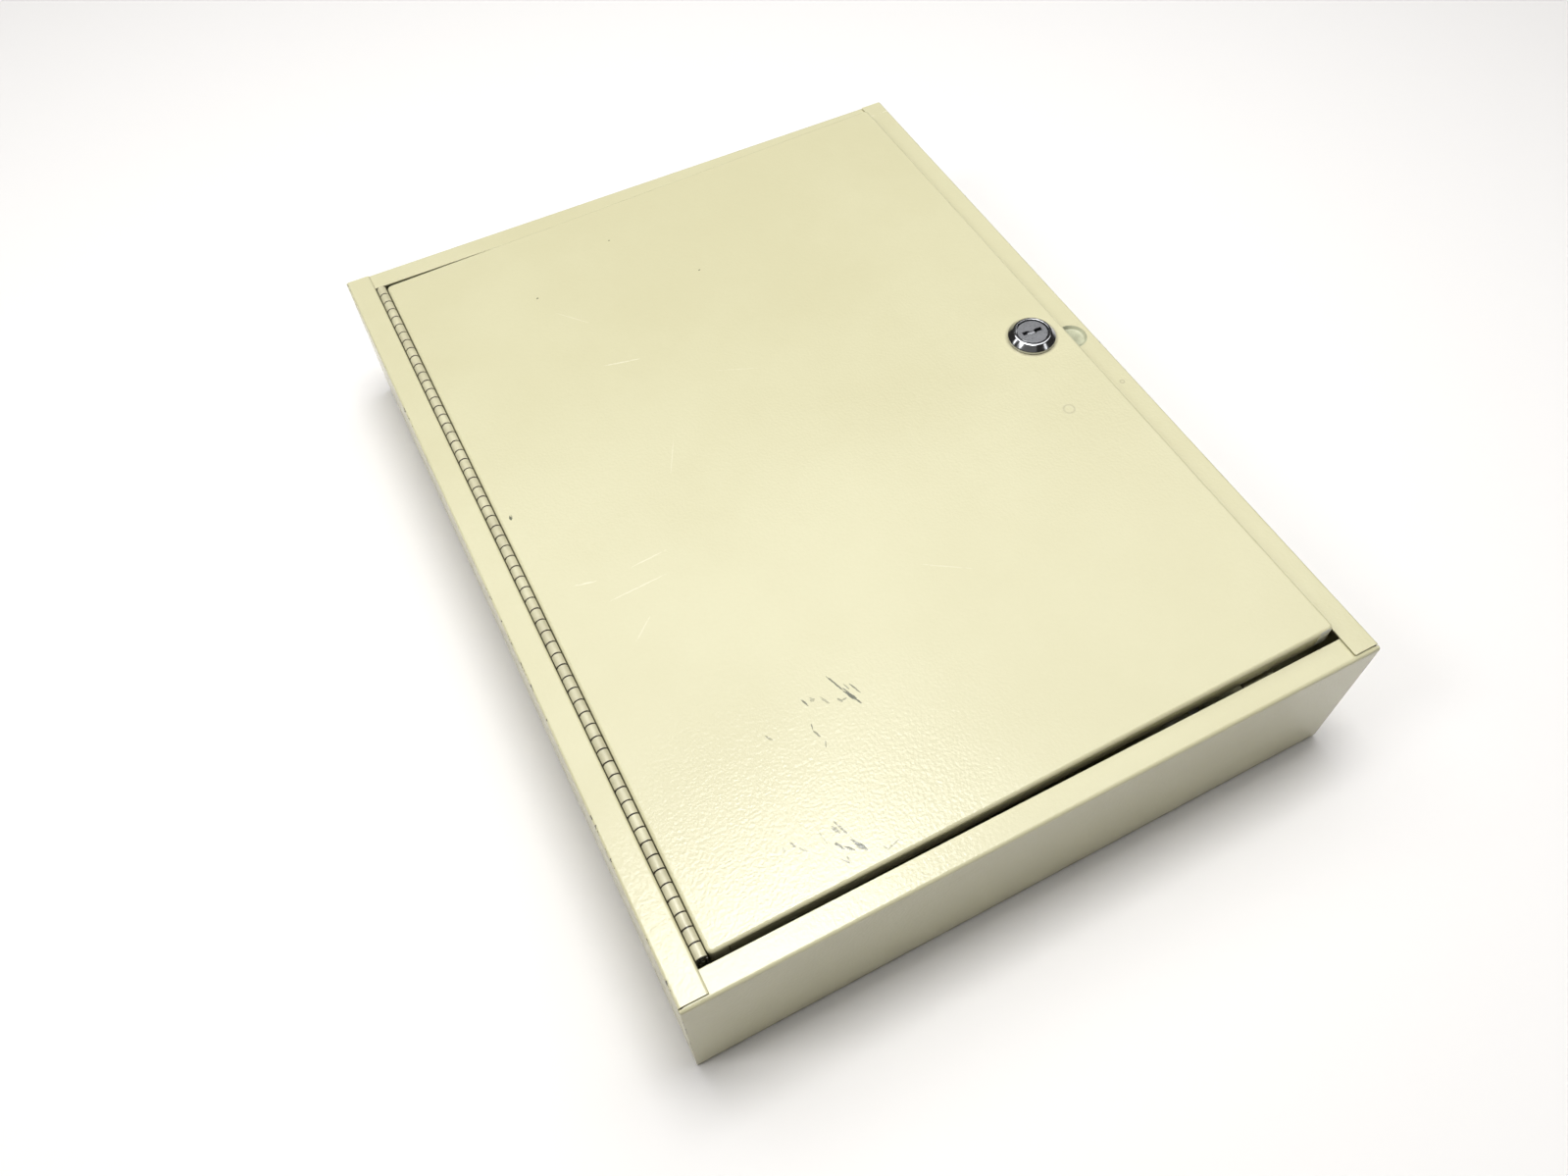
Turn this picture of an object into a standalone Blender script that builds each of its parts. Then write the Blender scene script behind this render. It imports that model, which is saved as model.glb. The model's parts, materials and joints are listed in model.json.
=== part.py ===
"""Wall key cabinet in folded sheet steel, with a hinged pan door, a cam lock and rows of key hooks.

The cabinet lies on its back. X runs from the hinge side to the lock side, Y to the top edge,
Z out of the front. The origin is the middle of the back. All lengths are in metres.
The door stands slightly ajar: its pieces hang on an empty on the hinge pin's axis, and the
lock's turning pieces hang on a second empty on the lock's axis.
"""
import math

import bmesh
import bpy
from mathutils import Vector

# Overall size of the cabinet
CABINET_WIDTH = 0.3270
CABINET_HEIGHT = 0.4286
CABINET_DEPTH = 0.0840

# Sheet steel and the gaps between pieces
SHEET = 0.0010
BEND_RADIUS = 0.0017
BEND_STEPS = 4
SEAT_GAP = 0.0003
CUT_OVERRUN = 0.0020
WELD_DISTANCE = 0.000001
SMOOTH_ANGLE = math.radians(40)

# Folded edges of the body
SIDE_FLANGE = 0.0127
END_FLANGE = 0.0117
BACK_FLANGE = 0.0120
LIP_DEPTH = 0.0110
LIP_BEND_RADIUS = 0.0013
LIP_END_CLEARANCE = 0.0011

# Half-round finger notch in the lock side's front flange
NOTCH_RADIUS = 0.0078
NOTCH_DEPTH = 0.0094
NOTCH_DROP = 0.0020
NOTCH_STEPS = 12

# Back panel and its wall-screw holes
PANEL_CLEARANCE = 0.0010
SCREW_HOLE_RADIUS = 0.0035
SCREW_HOLE_STEPS = 16
SCREW_FROM_SIDE = 0.0435
SCREW_FROM_END = 0.0383

# Continuous hinge
NOMINAL_KNUCKLE = 0.00635
KNUCKLE_GAP = 0.0003
BARREL_RADIUS = 0.0024
BARREL_RISE = 0.0012
HINGE_SHEET = 0.0010
LEAF_DROP = 0.0088
NOTCHED_LEAF_GAP = 0.0001
CURL_END_ANGLE = math.radians(288)
CURL_STEPS = 9
PIN_RADIUS = 0.00115
PIN_RECESS = 0.0005
PIN_STEPS = 10

# Pan door
DOOR_AJAR = math.radians(1.5)
DOOR_WIDTH = 0.2926
DOOR_END_CLEARANCE = 0.0026
DOOR_DEPTH = 0.0100
DOOR_CORNER_RADIUS = 0.0025
DOOR_CORNER_STEPS = 4
CORNER_TAB_WIDTH = 0.0084
CORNER_SEAM_WIDTH = 0.0004

# Door stops
STOP_WIDTH = 0.0160
STOP_UPRIGHT = 0.0120
STOP_SHELF = 0.0170
STOP_FROM_SIDE = 0.0420

# Hook strips
STRIP_SHEET = 0.0012
STRIP_HEIGHT = 0.0260
STRIP_DEPTH = 0.0040
STRIP_BEND_RADIUS = 0.0018
HOOK_PITCH = 0.0340
HOOK_MARGIN = 0.0210
HOOK_REACH = 0.0140
HOOK_ARM = 0.0030
HOOK_RISE = 0.0085
HOOK_TIP = 0.0030
HOOK_CORNER = 0.0012
HOOK_FROM_EDGE = 0.0030
BODY_ROWS = 6
BODY_HOOKS = 8
DOOR_ROWS = 5
DOOR_HOOKS = 6
ROW_FROM_OPENING = 0.0576
DOOR_STRIP_SHIFT = 0.0200

# Number strips
LABEL_HEIGHT = 0.0110
LABEL_THICKNESS = 0.0004
LABEL_END_MARGIN = 0.0040
LABEL_FROM_EDGE = 0.0022

# Cam lock
LOCK_FROM_DOOR_EDGE = 0.0179
LOCK_RISE = 0.0015
LOCK_STEPS = 28
BEZEL_RADIUS = 0.01215
BEZEL_SKIRT = 0.0010
BEZEL_HEIGHT = 0.0043
BEZEL_RIM = 0.0010
BEZEL_DOME_STEPS = 4
HOUSING_RADIUS = 0.0094
HOUSING_FLAT = 0.0079
HOUSING_LENGTH = 0.0130
LOCK_FIT = 0.0003
FACE_RADIUS = 0.0079
FACE_THICKNESS = 0.0022
FACE_RECESS = 0.0004
PLUG_RADIUS = 0.0065
KEYWAY_LENGTH = 0.0100
KEYWAY_WIDTH = 0.0018
KEYWAY_STEP = 0.0007
KEYWAY_DEPTH = 0.0110
KEYWAY_TILT = math.radians(-6)
TAIL_WIDTH = 0.0076
LOCK_WASHER_RADIUS = 0.0125
LOCK_WASHER_THICKNESS = 0.0008
NUT_ACROSS_FLATS = 0.0220
NUT_THICKNESS = 0.0030

# Cam and its screw
CAM_THICKNESS = 0.0020
CAM_HUB_RADIUS = 0.0095
CAM_LENGTH = 0.0300
CAM_WIDTH = 0.0150
CAM_TIP_RADIUS = 0.0030
CAM_TIP_STEPS = 3
CAM_HUB_STEPS = 10
CAM_CRANK_START = 0.0110
CAM_CRANK_RUN = 0.0040
CAM_LIP_CLEARANCE = 0.0005
CAM_WASHER_RADIUS = 0.0060
CAM_WASHER_THICKNESS = 0.0010
SCREW_SHANK_RADIUS = 0.0017
SCREW_ENGAGEMENT = 0.0060
SCREW_HEAD_RADIUS = 0.0042
SCREW_HEAD_HEIGHT = 0.0026
SCREW_SLOT_WIDTH = 0.0010
SCREW_SLOT_DEPTH = 0.0011
SCREW_STEPS = 14

# Places worked out from the sizes above
HALF_WIDTH = CABINET_WIDTH / 2
HALF_HEIGHT = CABINET_HEIGHT / 2
SIDE_END = HALF_HEIGHT - SHEET - SEAT_GAP
FLANGE_END = HALF_HEIGHT - BEND_RADIUS - SEAT_GAP
END_TOP = CABINET_DEPTH - SHEET - SEAT_GAP
OPENING_HALF_WIDTH = HALF_WIDTH - SIDE_FLANGE
OPENING_HALF_HEIGHT = HALF_HEIGHT - END_FLANGE
END_NOTCH = HALF_WIDTH - BEND_RADIUS - SEAT_GAP
PANEL_BACK = SHEET + SEAT_GAP
PANEL_FRONT = PANEL_BACK + SHEET
AXIS_X = SEAT_GAP + BARREL_RADIUS - OPENING_HALF_WIDTH
AXIS_Z = CABINET_DEPTH + BARREL_RISE - BARREL_RADIUS
DOOR_LEFT = BARREL_RADIUS + SEAT_GAP
DOOR_RIGHT = DOOR_LEFT + DOOR_WIDTH
DOOR_FACE = CABINET_DEPTH - AXIS_Z
DOOR_BACK = DOOR_FACE - DOOR_DEPTH
DOOR_HALF_HEIGHT = OPENING_HALF_HEIGHT - DOOR_END_CLEARANCE
HINGE_LENGTH = DOOR_HALF_HEIGHT + DOOR_HALF_HEIGHT
KNUCKLE_COUNT = int(DOOR_HALF_HEIGHT / NOMINAL_KNUCKLE) * 2 + 1
KNUCKLE_PITCH = HINGE_LENGTH / KNUCKLE_COUNT
ROW_PITCH = (OPENING_HALF_HEIGHT - ROW_FROM_OPENING) * 2 / (BODY_ROWS - 1)
BODY_STRIP_LENGTH = HOOK_PITCH * (BODY_HOOKS - 1) + HOOK_MARGIN + HOOK_MARGIN
DOOR_STRIP_LENGTH = HOOK_PITCH * (DOOR_HOOKS - 1) + HOOK_MARGIN + HOOK_MARGIN
LOCK_U = DOOR_RIGHT - LOCK_FROM_DOOR_EDGE
HOUSING_END = -HOUSING_LENGTH
CAM_TOP = HOUSING_END - SEAT_GAP - SEAT_GAP
CAM_BOTTOM = CAM_TOP - CAM_THICKNESS
CAM_CRANK = -CAM_TOP - DOOR_DEPTH - CAM_LIP_CLEARANCE
TAIL_END = CAM_BOTTOM - SEAT_GAP
CAM_WASHER_TOP = TAIL_END - SEAT_GAP
SCREW_HEAD_TOP = CAM_WASHER_TOP - CAM_WASHER_THICKNESS - SEAT_GAP

# Colour, roughness and metallic value of each finish
FINISHES = {
    "enamel": ((0.70, 0.65, 0.47), 0.45, 0.0),
    "zinc_plate": ((0.62, 0.62, 0.60), 0.35, 1.0),
    "chrome": ((0.80, 0.80, 0.78), 0.15, 1.0),
    "paper": ((0.85, 0.84, 0.78), 0.80, 0.0),
}


def clear_scene():
    """Removes every object that the file opened with."""
    for thing in list(bpy.data.objects):
        bpy.data.objects.remove(thing)


def finish_material(name, finish):
    """One material for one piece, in one of the finishes."""
    colour, roughness, metallic = FINISHES[finish]
    material = bpy.data.materials.new(name)
    material.use_nodes = True
    shader = material.node_tree.nodes["Principled BSDF"]
    shader.inputs["Base Color"].default_value = (*colour, 1.0)
    shader.inputs["Roughness"].default_value = roughness
    shader.inputs["Metallic"].default_value = metallic
    return material


def mesh_from(bm, name):
    """Closes a bmesh into mesh data with outward faces and sharp edges kept."""
    bmesh.ops.recalc_face_normals(bm, faces=bm.faces)
    mesh = bpy.data.meshes.new(name)
    bm.to_mesh(mesh)
    bm.free()
    mesh.shade_smooth()
    mesh.set_sharp_from_angle(angle=SMOOTH_ANGLE)
    return mesh


def add_piece(name, mesh, finish, parent=None, location=(0, 0, 0), rotation=(0, 0, 0)):
    """Puts one named piece of the cabinet in the scene."""
    piece = bpy.data.objects.new(name, mesh)
    bpy.context.collection.objects.link(piece)
    piece.location = location
    piece.rotation_euler = rotation
    piece.parent = parent
    if not mesh.materials:
        mesh.materials.append(None)
    piece.material_slots[0].link = "OBJECT"
    piece.material_slots[0].material = finish_material(name, finish)
    return piece


def add_tool(name, bm, parent=None):
    """Puts a cutter, or a shape to be joined on, in the scene as a wire guide."""
    tool = bpy.data.objects.new(name, mesh_from(bm, name))
    bpy.context.collection.objects.link(tool)
    tool.parent = parent
    tool.hide_render = True
    tool.display_type = "WIRE"
    return tool


def add_empty(name, location, rotation=(0, 0, 0), parent=None):
    """Puts an empty on a joint's axis."""
    empty = bpy.data.objects.new(name, None)
    bpy.context.collection.objects.link(empty)
    empty.location = location
    empty.rotation_euler = rotation
    empty.parent = parent
    return empty


def combine(piece, tool, operation):
    """Cuts or joins a tool's shape with an exact Boolean."""
    modifier = piece.modifiers.new(tool.name, "BOOLEAN")
    modifier.operation = operation
    modifier.solver = "EXACT"
    modifier.object = tool


def applied_mesh(piece, name):
    """A copy of a piece's mesh with its modifiers applied, for pieces that repeat."""
    graph = bpy.context.evaluated_depsgraph_get()
    mesh = bpy.data.meshes.new_from_object(piece.evaluated_get(graph))
    mesh.name = name
    return mesh


def spatial(point, level, along):
    """Turns an outline's point and a level along an axis into a place in space."""
    first, second = point
    if along == "X":
        return Vector((level, first, second))
    if along == "Y":
        return Vector((first, level, second))
    return Vector((first, second, level))


def add_prism(bm, outline, low, high, along):
    """Extrudes a closed outline from one level to another along an axis."""
    corners = [bm.verts.new(spatial(point, low, along)) for point in outline]
    face = bm.faces.new(corners)
    grown = bmesh.ops.extrude_face_region(bm, geom=[face])
    moved = [item for item in grown["geom"] if isinstance(item, bmesh.types.BMVert)]
    bmesh.ops.translate(bm, verts=moved, vec=spatial((0, 0), high - low, along))


def add_box(bm, low, high):
    """A box between two corners."""
    outline = [(low[0], low[1]), (high[0], low[1]), (high[0], high[1]), (low[0], high[1])]
    add_prism(bm, outline, low[2], high[2], "Z")


def add_turned(bm, profile, steps, closed=True):
    """Spins a profile of radius and height about Z. An open profile starts and ends on the axis."""
    points = [bm.verts.new((radius, 0, height)) for radius, height in profile]
    edges = [bm.edges.new(pair) for pair in zip(points, points[1:])]
    if closed:
        edges.append(bm.edges.new((points[-1], points[0])))
    bmesh.ops.spin(
        bm, geom=points + edges, cent=(0, 0, 0), axis=(0, 0, 1), angle=math.tau, steps=steps, use_merge=True
    )
    bmesh.ops.remove_doubles(bm, verts=bm.verts, dist=WELD_DISTANCE)


def arc(centre, radius, start, end, steps):
    """Points on an arc, from one angle to another."""
    points = []
    for step in range(steps + 1):
        angle = start + (end - start) * step / steps
        points.append((centre[0] + radius * math.cos(angle), centre[1] + radius * math.sin(angle)))
    return points


def bent_sheet(path, sheet, radius, steps=BEND_STEPS):
    """The cut end of a folded sheet whose outer face follows a path that turns right at each fold."""
    corners = [Vector(point) for point in path]
    outer = [corners[0]]
    inner = [corners[0] + right_of(corners[1] - corners[0]) * sheet]
    for before, corner, after in zip(corners, corners[1:], corners[2:]):
        into = (corner - before).normalized()
        turn = into.angle((after - corner).normalized())
        tangent = corner - into * radius * math.tan(turn / 2)
        across = right_of(into)
        centre = tangent + across * radius
        for step in range(steps + 1):
            angle = turn * step / steps
            spoke = -across * math.cos(angle) + into * math.sin(angle)
            outer.append(centre + spoke * radius)
            inner.append(centre + spoke * (radius - sheet))
    outer.append(corners[-1])
    inner.append(corners[-1] + right_of(corners[-1] - corners[-2]) * sheet)
    return [tuple(point) for point in outer + inner[::-1]]


def right_of(direction):
    """The unit vector that points to the right of a direction in the plane."""
    return Vector((direction.y, -direction.x)).normalized()


def mirrored(outline):
    """The same outline with its first coordinate turned round."""
    return [(-first, second) for first, second in outline]


def side_profile(with_lip):
    """Section of a side sheet on the hinge side: back flange, wall, front flange and hinge lip."""
    path = [
        (BACK_FLANGE - HALF_WIDTH, 0),
        (-HALF_WIDTH, 0),
        (-HALF_WIDTH, CABINET_DEPTH),
        (-OPENING_HALF_WIDTH, CABINET_DEPTH),
    ]
    if not with_lip:
        return bent_sheet(path, SHEET, BEND_RADIUS)
    return bent_sheet(path + [(-OPENING_HALF_WIDTH, CABINET_DEPTH - LIP_DEPTH)], SHEET, LIP_BEND_RADIUS)


def side_reliefs(name, side):
    """Cutter for the corner reliefs of a side sheet: the bends of the end sheets and their back flanges."""
    bm = bmesh.new()
    outside = side * (HALF_WIDTH + CUT_OVERRUN)
    bend_edge = side * (HALF_WIDTH - BEND_RADIUS)
    flange_reach = side * (HALF_WIDTH - BACK_FLANGE - CUT_OVERRUN)
    front_reach = side * (OPENING_HALF_WIDTH - CUT_OVERRUN)
    front_bend = END_TOP - BEND_RADIUS - SEAT_GAP
    back_bend = BEND_RADIUS + SEAT_GAP
    for end in (-1, 1):
        bend_line = end * FLANGE_END
        seam = end * (HALF_HEIGHT - BACK_FLANGE - SEAT_GAP)
        far = end * (SIDE_END + CUT_OVERRUN)
        front = [(outside, bend_line), (front_reach, bend_line), (front_reach, far), (outside, far)]
        add_prism(bm, front, front_bend, CABINET_DEPTH + CUT_OVERRUN, "Z")
        back = [
            (outside, far), (outside, bend_line), (bend_edge, bend_line),
            (bend_edge, seam), (flange_reach, seam), (flange_reach, far),
        ]
        add_prism(bm, back, -CUT_OVERRUN, back_bend, "Z")
    return add_tool(name, bm)


def lip_reliefs():
    """Cutter that ends the hinge lip short of the end flanges."""
    bm = bmesh.new()
    lip_end = OPENING_HALF_HEIGHT - LIP_END_CLEARANCE
    low = CABINET_DEPTH - LIP_DEPTH - CUT_OVERRUN
    high = CABINET_DEPTH - SHEET
    left = -OPENING_HALF_WIDTH - BEND_RADIUS
    for end in (-1, 1):
        near, far = sorted((end * lip_end, end * (SIDE_END + CUT_OVERRUN)))
        add_box(bm, (left, near, low), (CUT_OVERRUN - OPENING_HALF_WIDTH, far, high))
    return add_tool("lip_relief_cutter", bm)


def make_left_side():
    """Hinge-side sheet, with a lip behind its front flange that carries the hinge."""
    bm = bmesh.new()
    add_prism(bm, side_profile(True), -SIDE_END, SIDE_END, "Y")
    side = add_piece("left_side", mesh_from(bm, "left_side"), "enamel")
    combine(side, side_reliefs("left_relief_cutter", -1), "DIFFERENCE")
    combine(side, lip_reliefs(), "DIFFERENCE")


def make_right_side():
    """Lock-side sheet, with the finger notch in its front flange."""
    bm = bmesh.new()
    add_prism(bm, mirrored(side_profile(False)), -SIDE_END, SIDE_END, "Y")
    side = add_piece("right_side", mesh_from(bm, "right_side"), "enamel")
    combine(side, side_reliefs("right_relief_cutter", 1), "DIFFERENCE")
    bm = bmesh.new()
    centre = (OPENING_HALF_WIDTH + NOTCH_DEPTH - NOTCH_RADIUS, -NOTCH_DROP)
    mouth = OPENING_HALF_WIDTH - CUT_OVERRUN
    outline = arc(centre, NOTCH_RADIUS, -math.pi / 2, math.pi / 2, NOTCH_STEPS)
    outline += [(mouth, centre[1] + NOTCH_RADIUS), (mouth, centre[1] - NOTCH_RADIUS)]
    add_prism(bm, outline, CABINET_DEPTH - SHEET - CUT_OVERRUN, CABINET_DEPTH + CUT_OVERRUN, "Z")
    combine(side, add_tool("finger_notch_cutter", bm), "DIFFERENCE")


def make_end(name, end):
    """Top or bottom sheet: it runs the full width, with its flanges tucked inside the side sheets."""
    path = [
        (BACK_FLANGE - HALF_HEIGHT, 0),
        (-HALF_HEIGHT, 0),
        (-HALF_HEIGHT, END_TOP),
        (-OPENING_HALF_HEIGHT, END_TOP),
    ]
    outline = bent_sheet(path, SHEET, BEND_RADIUS)
    if end > 0:
        outline = mirrored(outline)
    bm = bmesh.new()
    add_prism(bm, outline, -HALF_WIDTH, HALF_WIDTH, "X")
    sheet = add_piece(name, mesh_from(bm, name), "enamel")
    bm = bmesh.new()
    near, far = sorted((end * (HALF_HEIGHT - BEND_RADIUS), end * (OPENING_HALF_HEIGHT - CUT_OVERRUN)))
    for side in (-1, 1):
        left, right = sorted((side * END_NOTCH, side * (HALF_WIDTH + CUT_OVERRUN)))
        add_box(bm, (left, near, END_TOP - BEND_RADIUS), (right, far, END_TOP + CUT_OVERRUN))
        add_box(bm, (left, near, -CUT_OVERRUN), (right, far, BEND_RADIUS))
    combine(sheet, add_tool(name + "_corner_cutter", bm), "DIFFERENCE")


def make_back_panel():
    """Flat panel that lies on the back flanges, with four holes for wall screws."""
    half_width = HALF_WIDTH - SHEET - PANEL_CLEARANCE
    half_height = HALF_HEIGHT - SHEET - PANEL_CLEARANCE
    bm = bmesh.new()
    add_box(bm, (-half_width, -half_height, PANEL_BACK), (half_width, half_height, PANEL_FRONT))
    panel = add_piece("back_panel", mesh_from(bm, "back_panel"), "enamel")
    bm = bmesh.new()
    screw_x = HALF_WIDTH - SCREW_FROM_SIDE
    screw_y = HALF_HEIGHT - SCREW_FROM_END
    for x in (-screw_x, screw_x):
        for y in (-screw_y, screw_y):
            outline = arc((x, y), SCREW_HOLE_RADIUS, 0, math.tau, SCREW_HOLE_STEPS)[:-1]
            add_prism(bm, outline, PANEL_BACK - CUT_OVERRUN, PANEL_FRONT + CUT_OVERRUN, "Z")
    combine(panel, add_tool("wall_screw_cutter", bm), "DIFFERENCE")


def make_door_stops():
    """Two angle brackets on the end sheets, which stop the closing door under its rim."""
    root = HALF_HEIGHT - SHEET - SEAT_GAP
    shelf_top = CABINET_DEPTH - DOOR_DEPTH - SEAT_GAP
    path = [(-root, shelf_top - STOP_UPRIGHT), (-root, shelf_top), (STOP_SHELF - root, shelf_top)]
    bottom = bent_sheet(path, SHEET, BEND_RADIUS)
    right = HALF_WIDTH - STOP_FROM_SIDE
    for name, outline in (("door_stop_bottom", bottom), ("door_stop_top", mirrored(bottom))):
        bm = bmesh.new()
        add_prism(bm, outline, right - STOP_WIDTH, right, "X")
        add_piece(name, mesh_from(bm, name), "enamel")


def curl_outline():
    """Section of a knuckle on the door's side: a curl of sheet that rises from the leaf's top edge."""
    inside = BARREL_RADIUS - HINGE_SHEET
    outer = arc((0, 0), BARREL_RADIUS, 0, CURL_END_ANGLE, CURL_STEPS)
    inner = arc((0, 0), inside, 0, CURL_END_ANGLE, CURL_STEPS)
    return outer + inner[::-1]


def hinge_leaf_mesh(name, side, first):
    """A leaf with every second knuckle, built along the pin from one shared set of sections."""
    leaf_top = -BARREL_RADIUS - NOTCHED_LEAF_GAP
    inside = BARREL_RADIUS - HINGE_SHEET
    root = [(BARREL_RADIUS, leaf_top), (inside, leaf_top)]
    foot = [(BARREL_RADIUS, -LEAF_DROP), (inside, -LEAF_DROP)]
    bm = bmesh.new()
    stations = []
    for index in range(KNUCKLE_COUNT):
        start = index * KNUCKLE_PITCH - HINGE_LENGTH / 2
        carries = index % 2 == first
        margin = KNUCKLE_GAP / 2 if carries else -KNUCKLE_GAP / 2
        stations.append((start + margin, start + KNUCKLE_PITCH - margin, carries))
    rows = []
    low_end = -HINGE_LENGTH / 2 + KNUCKLE_GAP / 2
    high_end = HINGE_LENGTH / 2 - KNUCKLE_GAP / 2
    for low, high, carries in stations:
        low, high = max(low, low_end), min(high, high_end)
        if not rows:
            rows.append(leaf_row(bm, side, root + foot, low))
        rows.append(leaf_row(bm, side, root + foot, high))
        join_leaf_rows(bm, rows[-2], rows[-1])
        if carries:
            add_knuckle(bm, side, rows[-2], rows[-1], low, high)
        else:
            bm.faces.new((rows[-2][0], rows[-2][1], rows[-1][1], rows[-1][0]))
    for row in (rows[0], rows[-1]):
        bm.faces.new((row[0], row[1], row[3], row[2]))
    return mesh_from(bm, name)


def leaf_row(bm, side, points, level):
    """The four corners of a leaf's section at one place along the pin."""
    return [bm.verts.new((side * x, level, z)) for x, z in points]


def join_leaf_rows(bm, before, after):
    """Outer face, inner face and lower edge of the leaf between two sections."""
    for first, second in ((0, 2), (1, 3), (2, 3)):
        bm.faces.new((before[first], before[second], after[second], after[first]))


def add_knuckle(bm, side, before, after, low, high):
    """Curl between two sections of the leaf, with its cut ends closed."""
    outline = curl_outline()
    starts = [bm.verts.new((side * x, low, z)) for x, z in outline]
    ends = [bm.verts.new((side * x, high, z)) for x, z in outline]
    first = [before[0]] + starts + [before[1]]
    last = [after[0]] + ends + [after[1]]
    for index in range(len(first) - 1):
        bm.faces.new((first[index], first[index + 1], last[index + 1], last[index]))
    bm.faces.new(first)
    bm.faces.new(last)


def make_hinge(door_axis):
    """Continuous hinge: the frame's leaf, the door's leaf and the pin through both."""
    frame_mesh = hinge_leaf_mesh("hinge_frame_leaf", -1, 0)
    add_piece("hinge_frame_leaf", frame_mesh, "enamel", location=(AXIS_X, 0, AXIS_Z))
    door_mesh = hinge_leaf_mesh("hinge_door_leaf", 1, 1)
    add_piece("hinge_door_leaf", door_mesh, "enamel", parent=door_axis)
    bm = bmesh.new()
    half = HINGE_LENGTH / 2 - PIN_RECESS
    add_prism(bm, arc((0, 0), PIN_RADIUS, 0, math.tau, PIN_STEPS)[:-1], -half, half, "Y")
    add_piece("hinge_pin", mesh_from(bm, "hinge_pin"), "zinc_plate", location=(AXIS_X, 0, AXIS_Z))


def rim_ring(bm, inset, corner, level):
    """A ring of points round the door, set in from its outer edge by some amount."""
    left, right = DOOR_LEFT + inset, DOOR_RIGHT - inset
    top = DOOR_HALF_HEIGHT - inset
    centres = (
        (right - corner, top - corner),
        (left + corner, top - corner),
        (left + corner, corner - top),
        (right - corner, corner - top),
    )
    points = []
    for quarter, centre in enumerate(centres):
        start = quarter * math.pi / 2
        points += arc(centre, corner, start, start + math.pi / 2, DOOR_CORNER_STEPS)
    return [bm.verts.new((x, y, level)) for x, y in points]


def make_door_pan(door_axis):
    """Door folded as a shallow pan, with rounded front edges, corner seams and the lock's hole."""
    inner_bend = BEND_RADIUS - SHEET
    inner_corner = DOOR_CORNER_RADIUS - SHEET
    bm = bmesh.new()
    rings = [rim_ring(bm, SHEET, inner_corner, DOOR_BACK), rim_ring(bm, 0, DOOR_CORNER_RADIUS, DOOR_BACK)]
    for step in range(BEND_STEPS + 1):
        angle = math.pi / 2 * step / BEND_STEPS
        inset = BEND_RADIUS - BEND_RADIUS * math.cos(angle)
        level = DOOR_FACE - BEND_RADIUS + BEND_RADIUS * math.sin(angle)
        rings.append(rim_ring(bm, inset, DOOR_CORNER_RADIUS - inset, level))
    front = rings[-1]
    for step in range(BEND_STEPS, -1, -1):
        angle = math.pi / 2 * step / BEND_STEPS
        inset = SHEET + inner_bend - inner_bend * math.cos(angle)
        level = DOOR_FACE - BEND_RADIUS + inner_bend * math.sin(angle)
        rings.append(rim_ring(bm, inset, DOOR_CORNER_RADIUS - inset, level))
        if step == BEND_STEPS:
            back = rings[-1]
    for before, after in zip(rings, rings[1:] + rings[:1]):
        if before is front:
            continue
        for index, point in enumerate(before):
            follower = (index + 1) % len(before)
            bm.faces.new((point, before[follower], after[follower], after[index]))
    bm.faces.new(front)
    bm.faces.new(back)
    pan = add_piece("door_pan", mesh_from(bm, "door_pan"), "enamel", parent=door_axis)
    combine(pan, corner_seams(door_axis), "DIFFERENCE")
    combine(pan, lock_hole(door_axis), "DIFFERENCE")


def corner_seams(door_axis):
    """Cutter for the seams where the end rims meet the tabs of the side rims."""
    bm = bmesh.new()
    half_seam = CORNER_SEAM_WIDTH / 2
    for end in (-1, 1):
        inside = end * (DOOR_HALF_HEIGHT - SHEET - CUT_OVERRUN)
        near, far = sorted((inside, end * (DOOR_HALF_HEIGHT + CUT_OVERRUN)))
        for seam in (DOOR_LEFT + CORNER_TAB_WIDTH, DOOR_RIGHT - CORNER_TAB_WIDTH):
            low = (seam - half_seam, near, DOOR_BACK - CUT_OVERRUN)
            add_box(bm, low, (seam + half_seam, far, DOOR_FACE - BEND_RADIUS))
    return add_tool("corner_seam_cutter", bm, door_axis)


def flatted_circle(radius, flat, steps):
    """A circle of points with two opposite flats, which keep a lock from turning in its hole."""
    limit = math.acos(flat / radius)
    outline = []
    for start in (limit, math.pi + limit):
        outline += arc((0, 0), radius, start, start + math.pi - limit - limit, steps // 2)
    return outline


def lock_hole(door_axis):
    """Cutter for the lock's hole in the door."""
    bm = bmesh.new()
    hole = flatted_circle(HOUSING_RADIUS + LOCK_FIT, HOUSING_FLAT + LOCK_FIT, LOCK_STEPS)
    outline = [(LOCK_U + x, LOCK_RISE + y) for x, y in hole]
    add_prism(bm, outline, DOOR_FACE - SHEET - CUT_OVERRUN, DOOR_FACE + CUT_OVERRUN, "Z")
    return add_tool("lock_hole_cutter", bm, door_axis)


def hook_outline():
    """Side view of a hook: an arm from the strip's face and a turned-up tip."""
    arm_low = HOOK_FROM_EDGE - STRIP_HEIGHT / 2
    return [
        (0, arm_low),
        (HOOK_REACH - HOOK_CORNER, arm_low),
        (HOOK_REACH, arm_low + HOOK_CORNER),
        (HOOK_REACH, arm_low + HOOK_RISE),
        (HOOK_REACH - HOOK_TIP, arm_low + HOOK_RISE),
        (HOOK_REACH - HOOK_TIP, arm_low + HOOK_ARM),
        (0, arm_low + HOOK_ARM),
    ]


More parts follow.
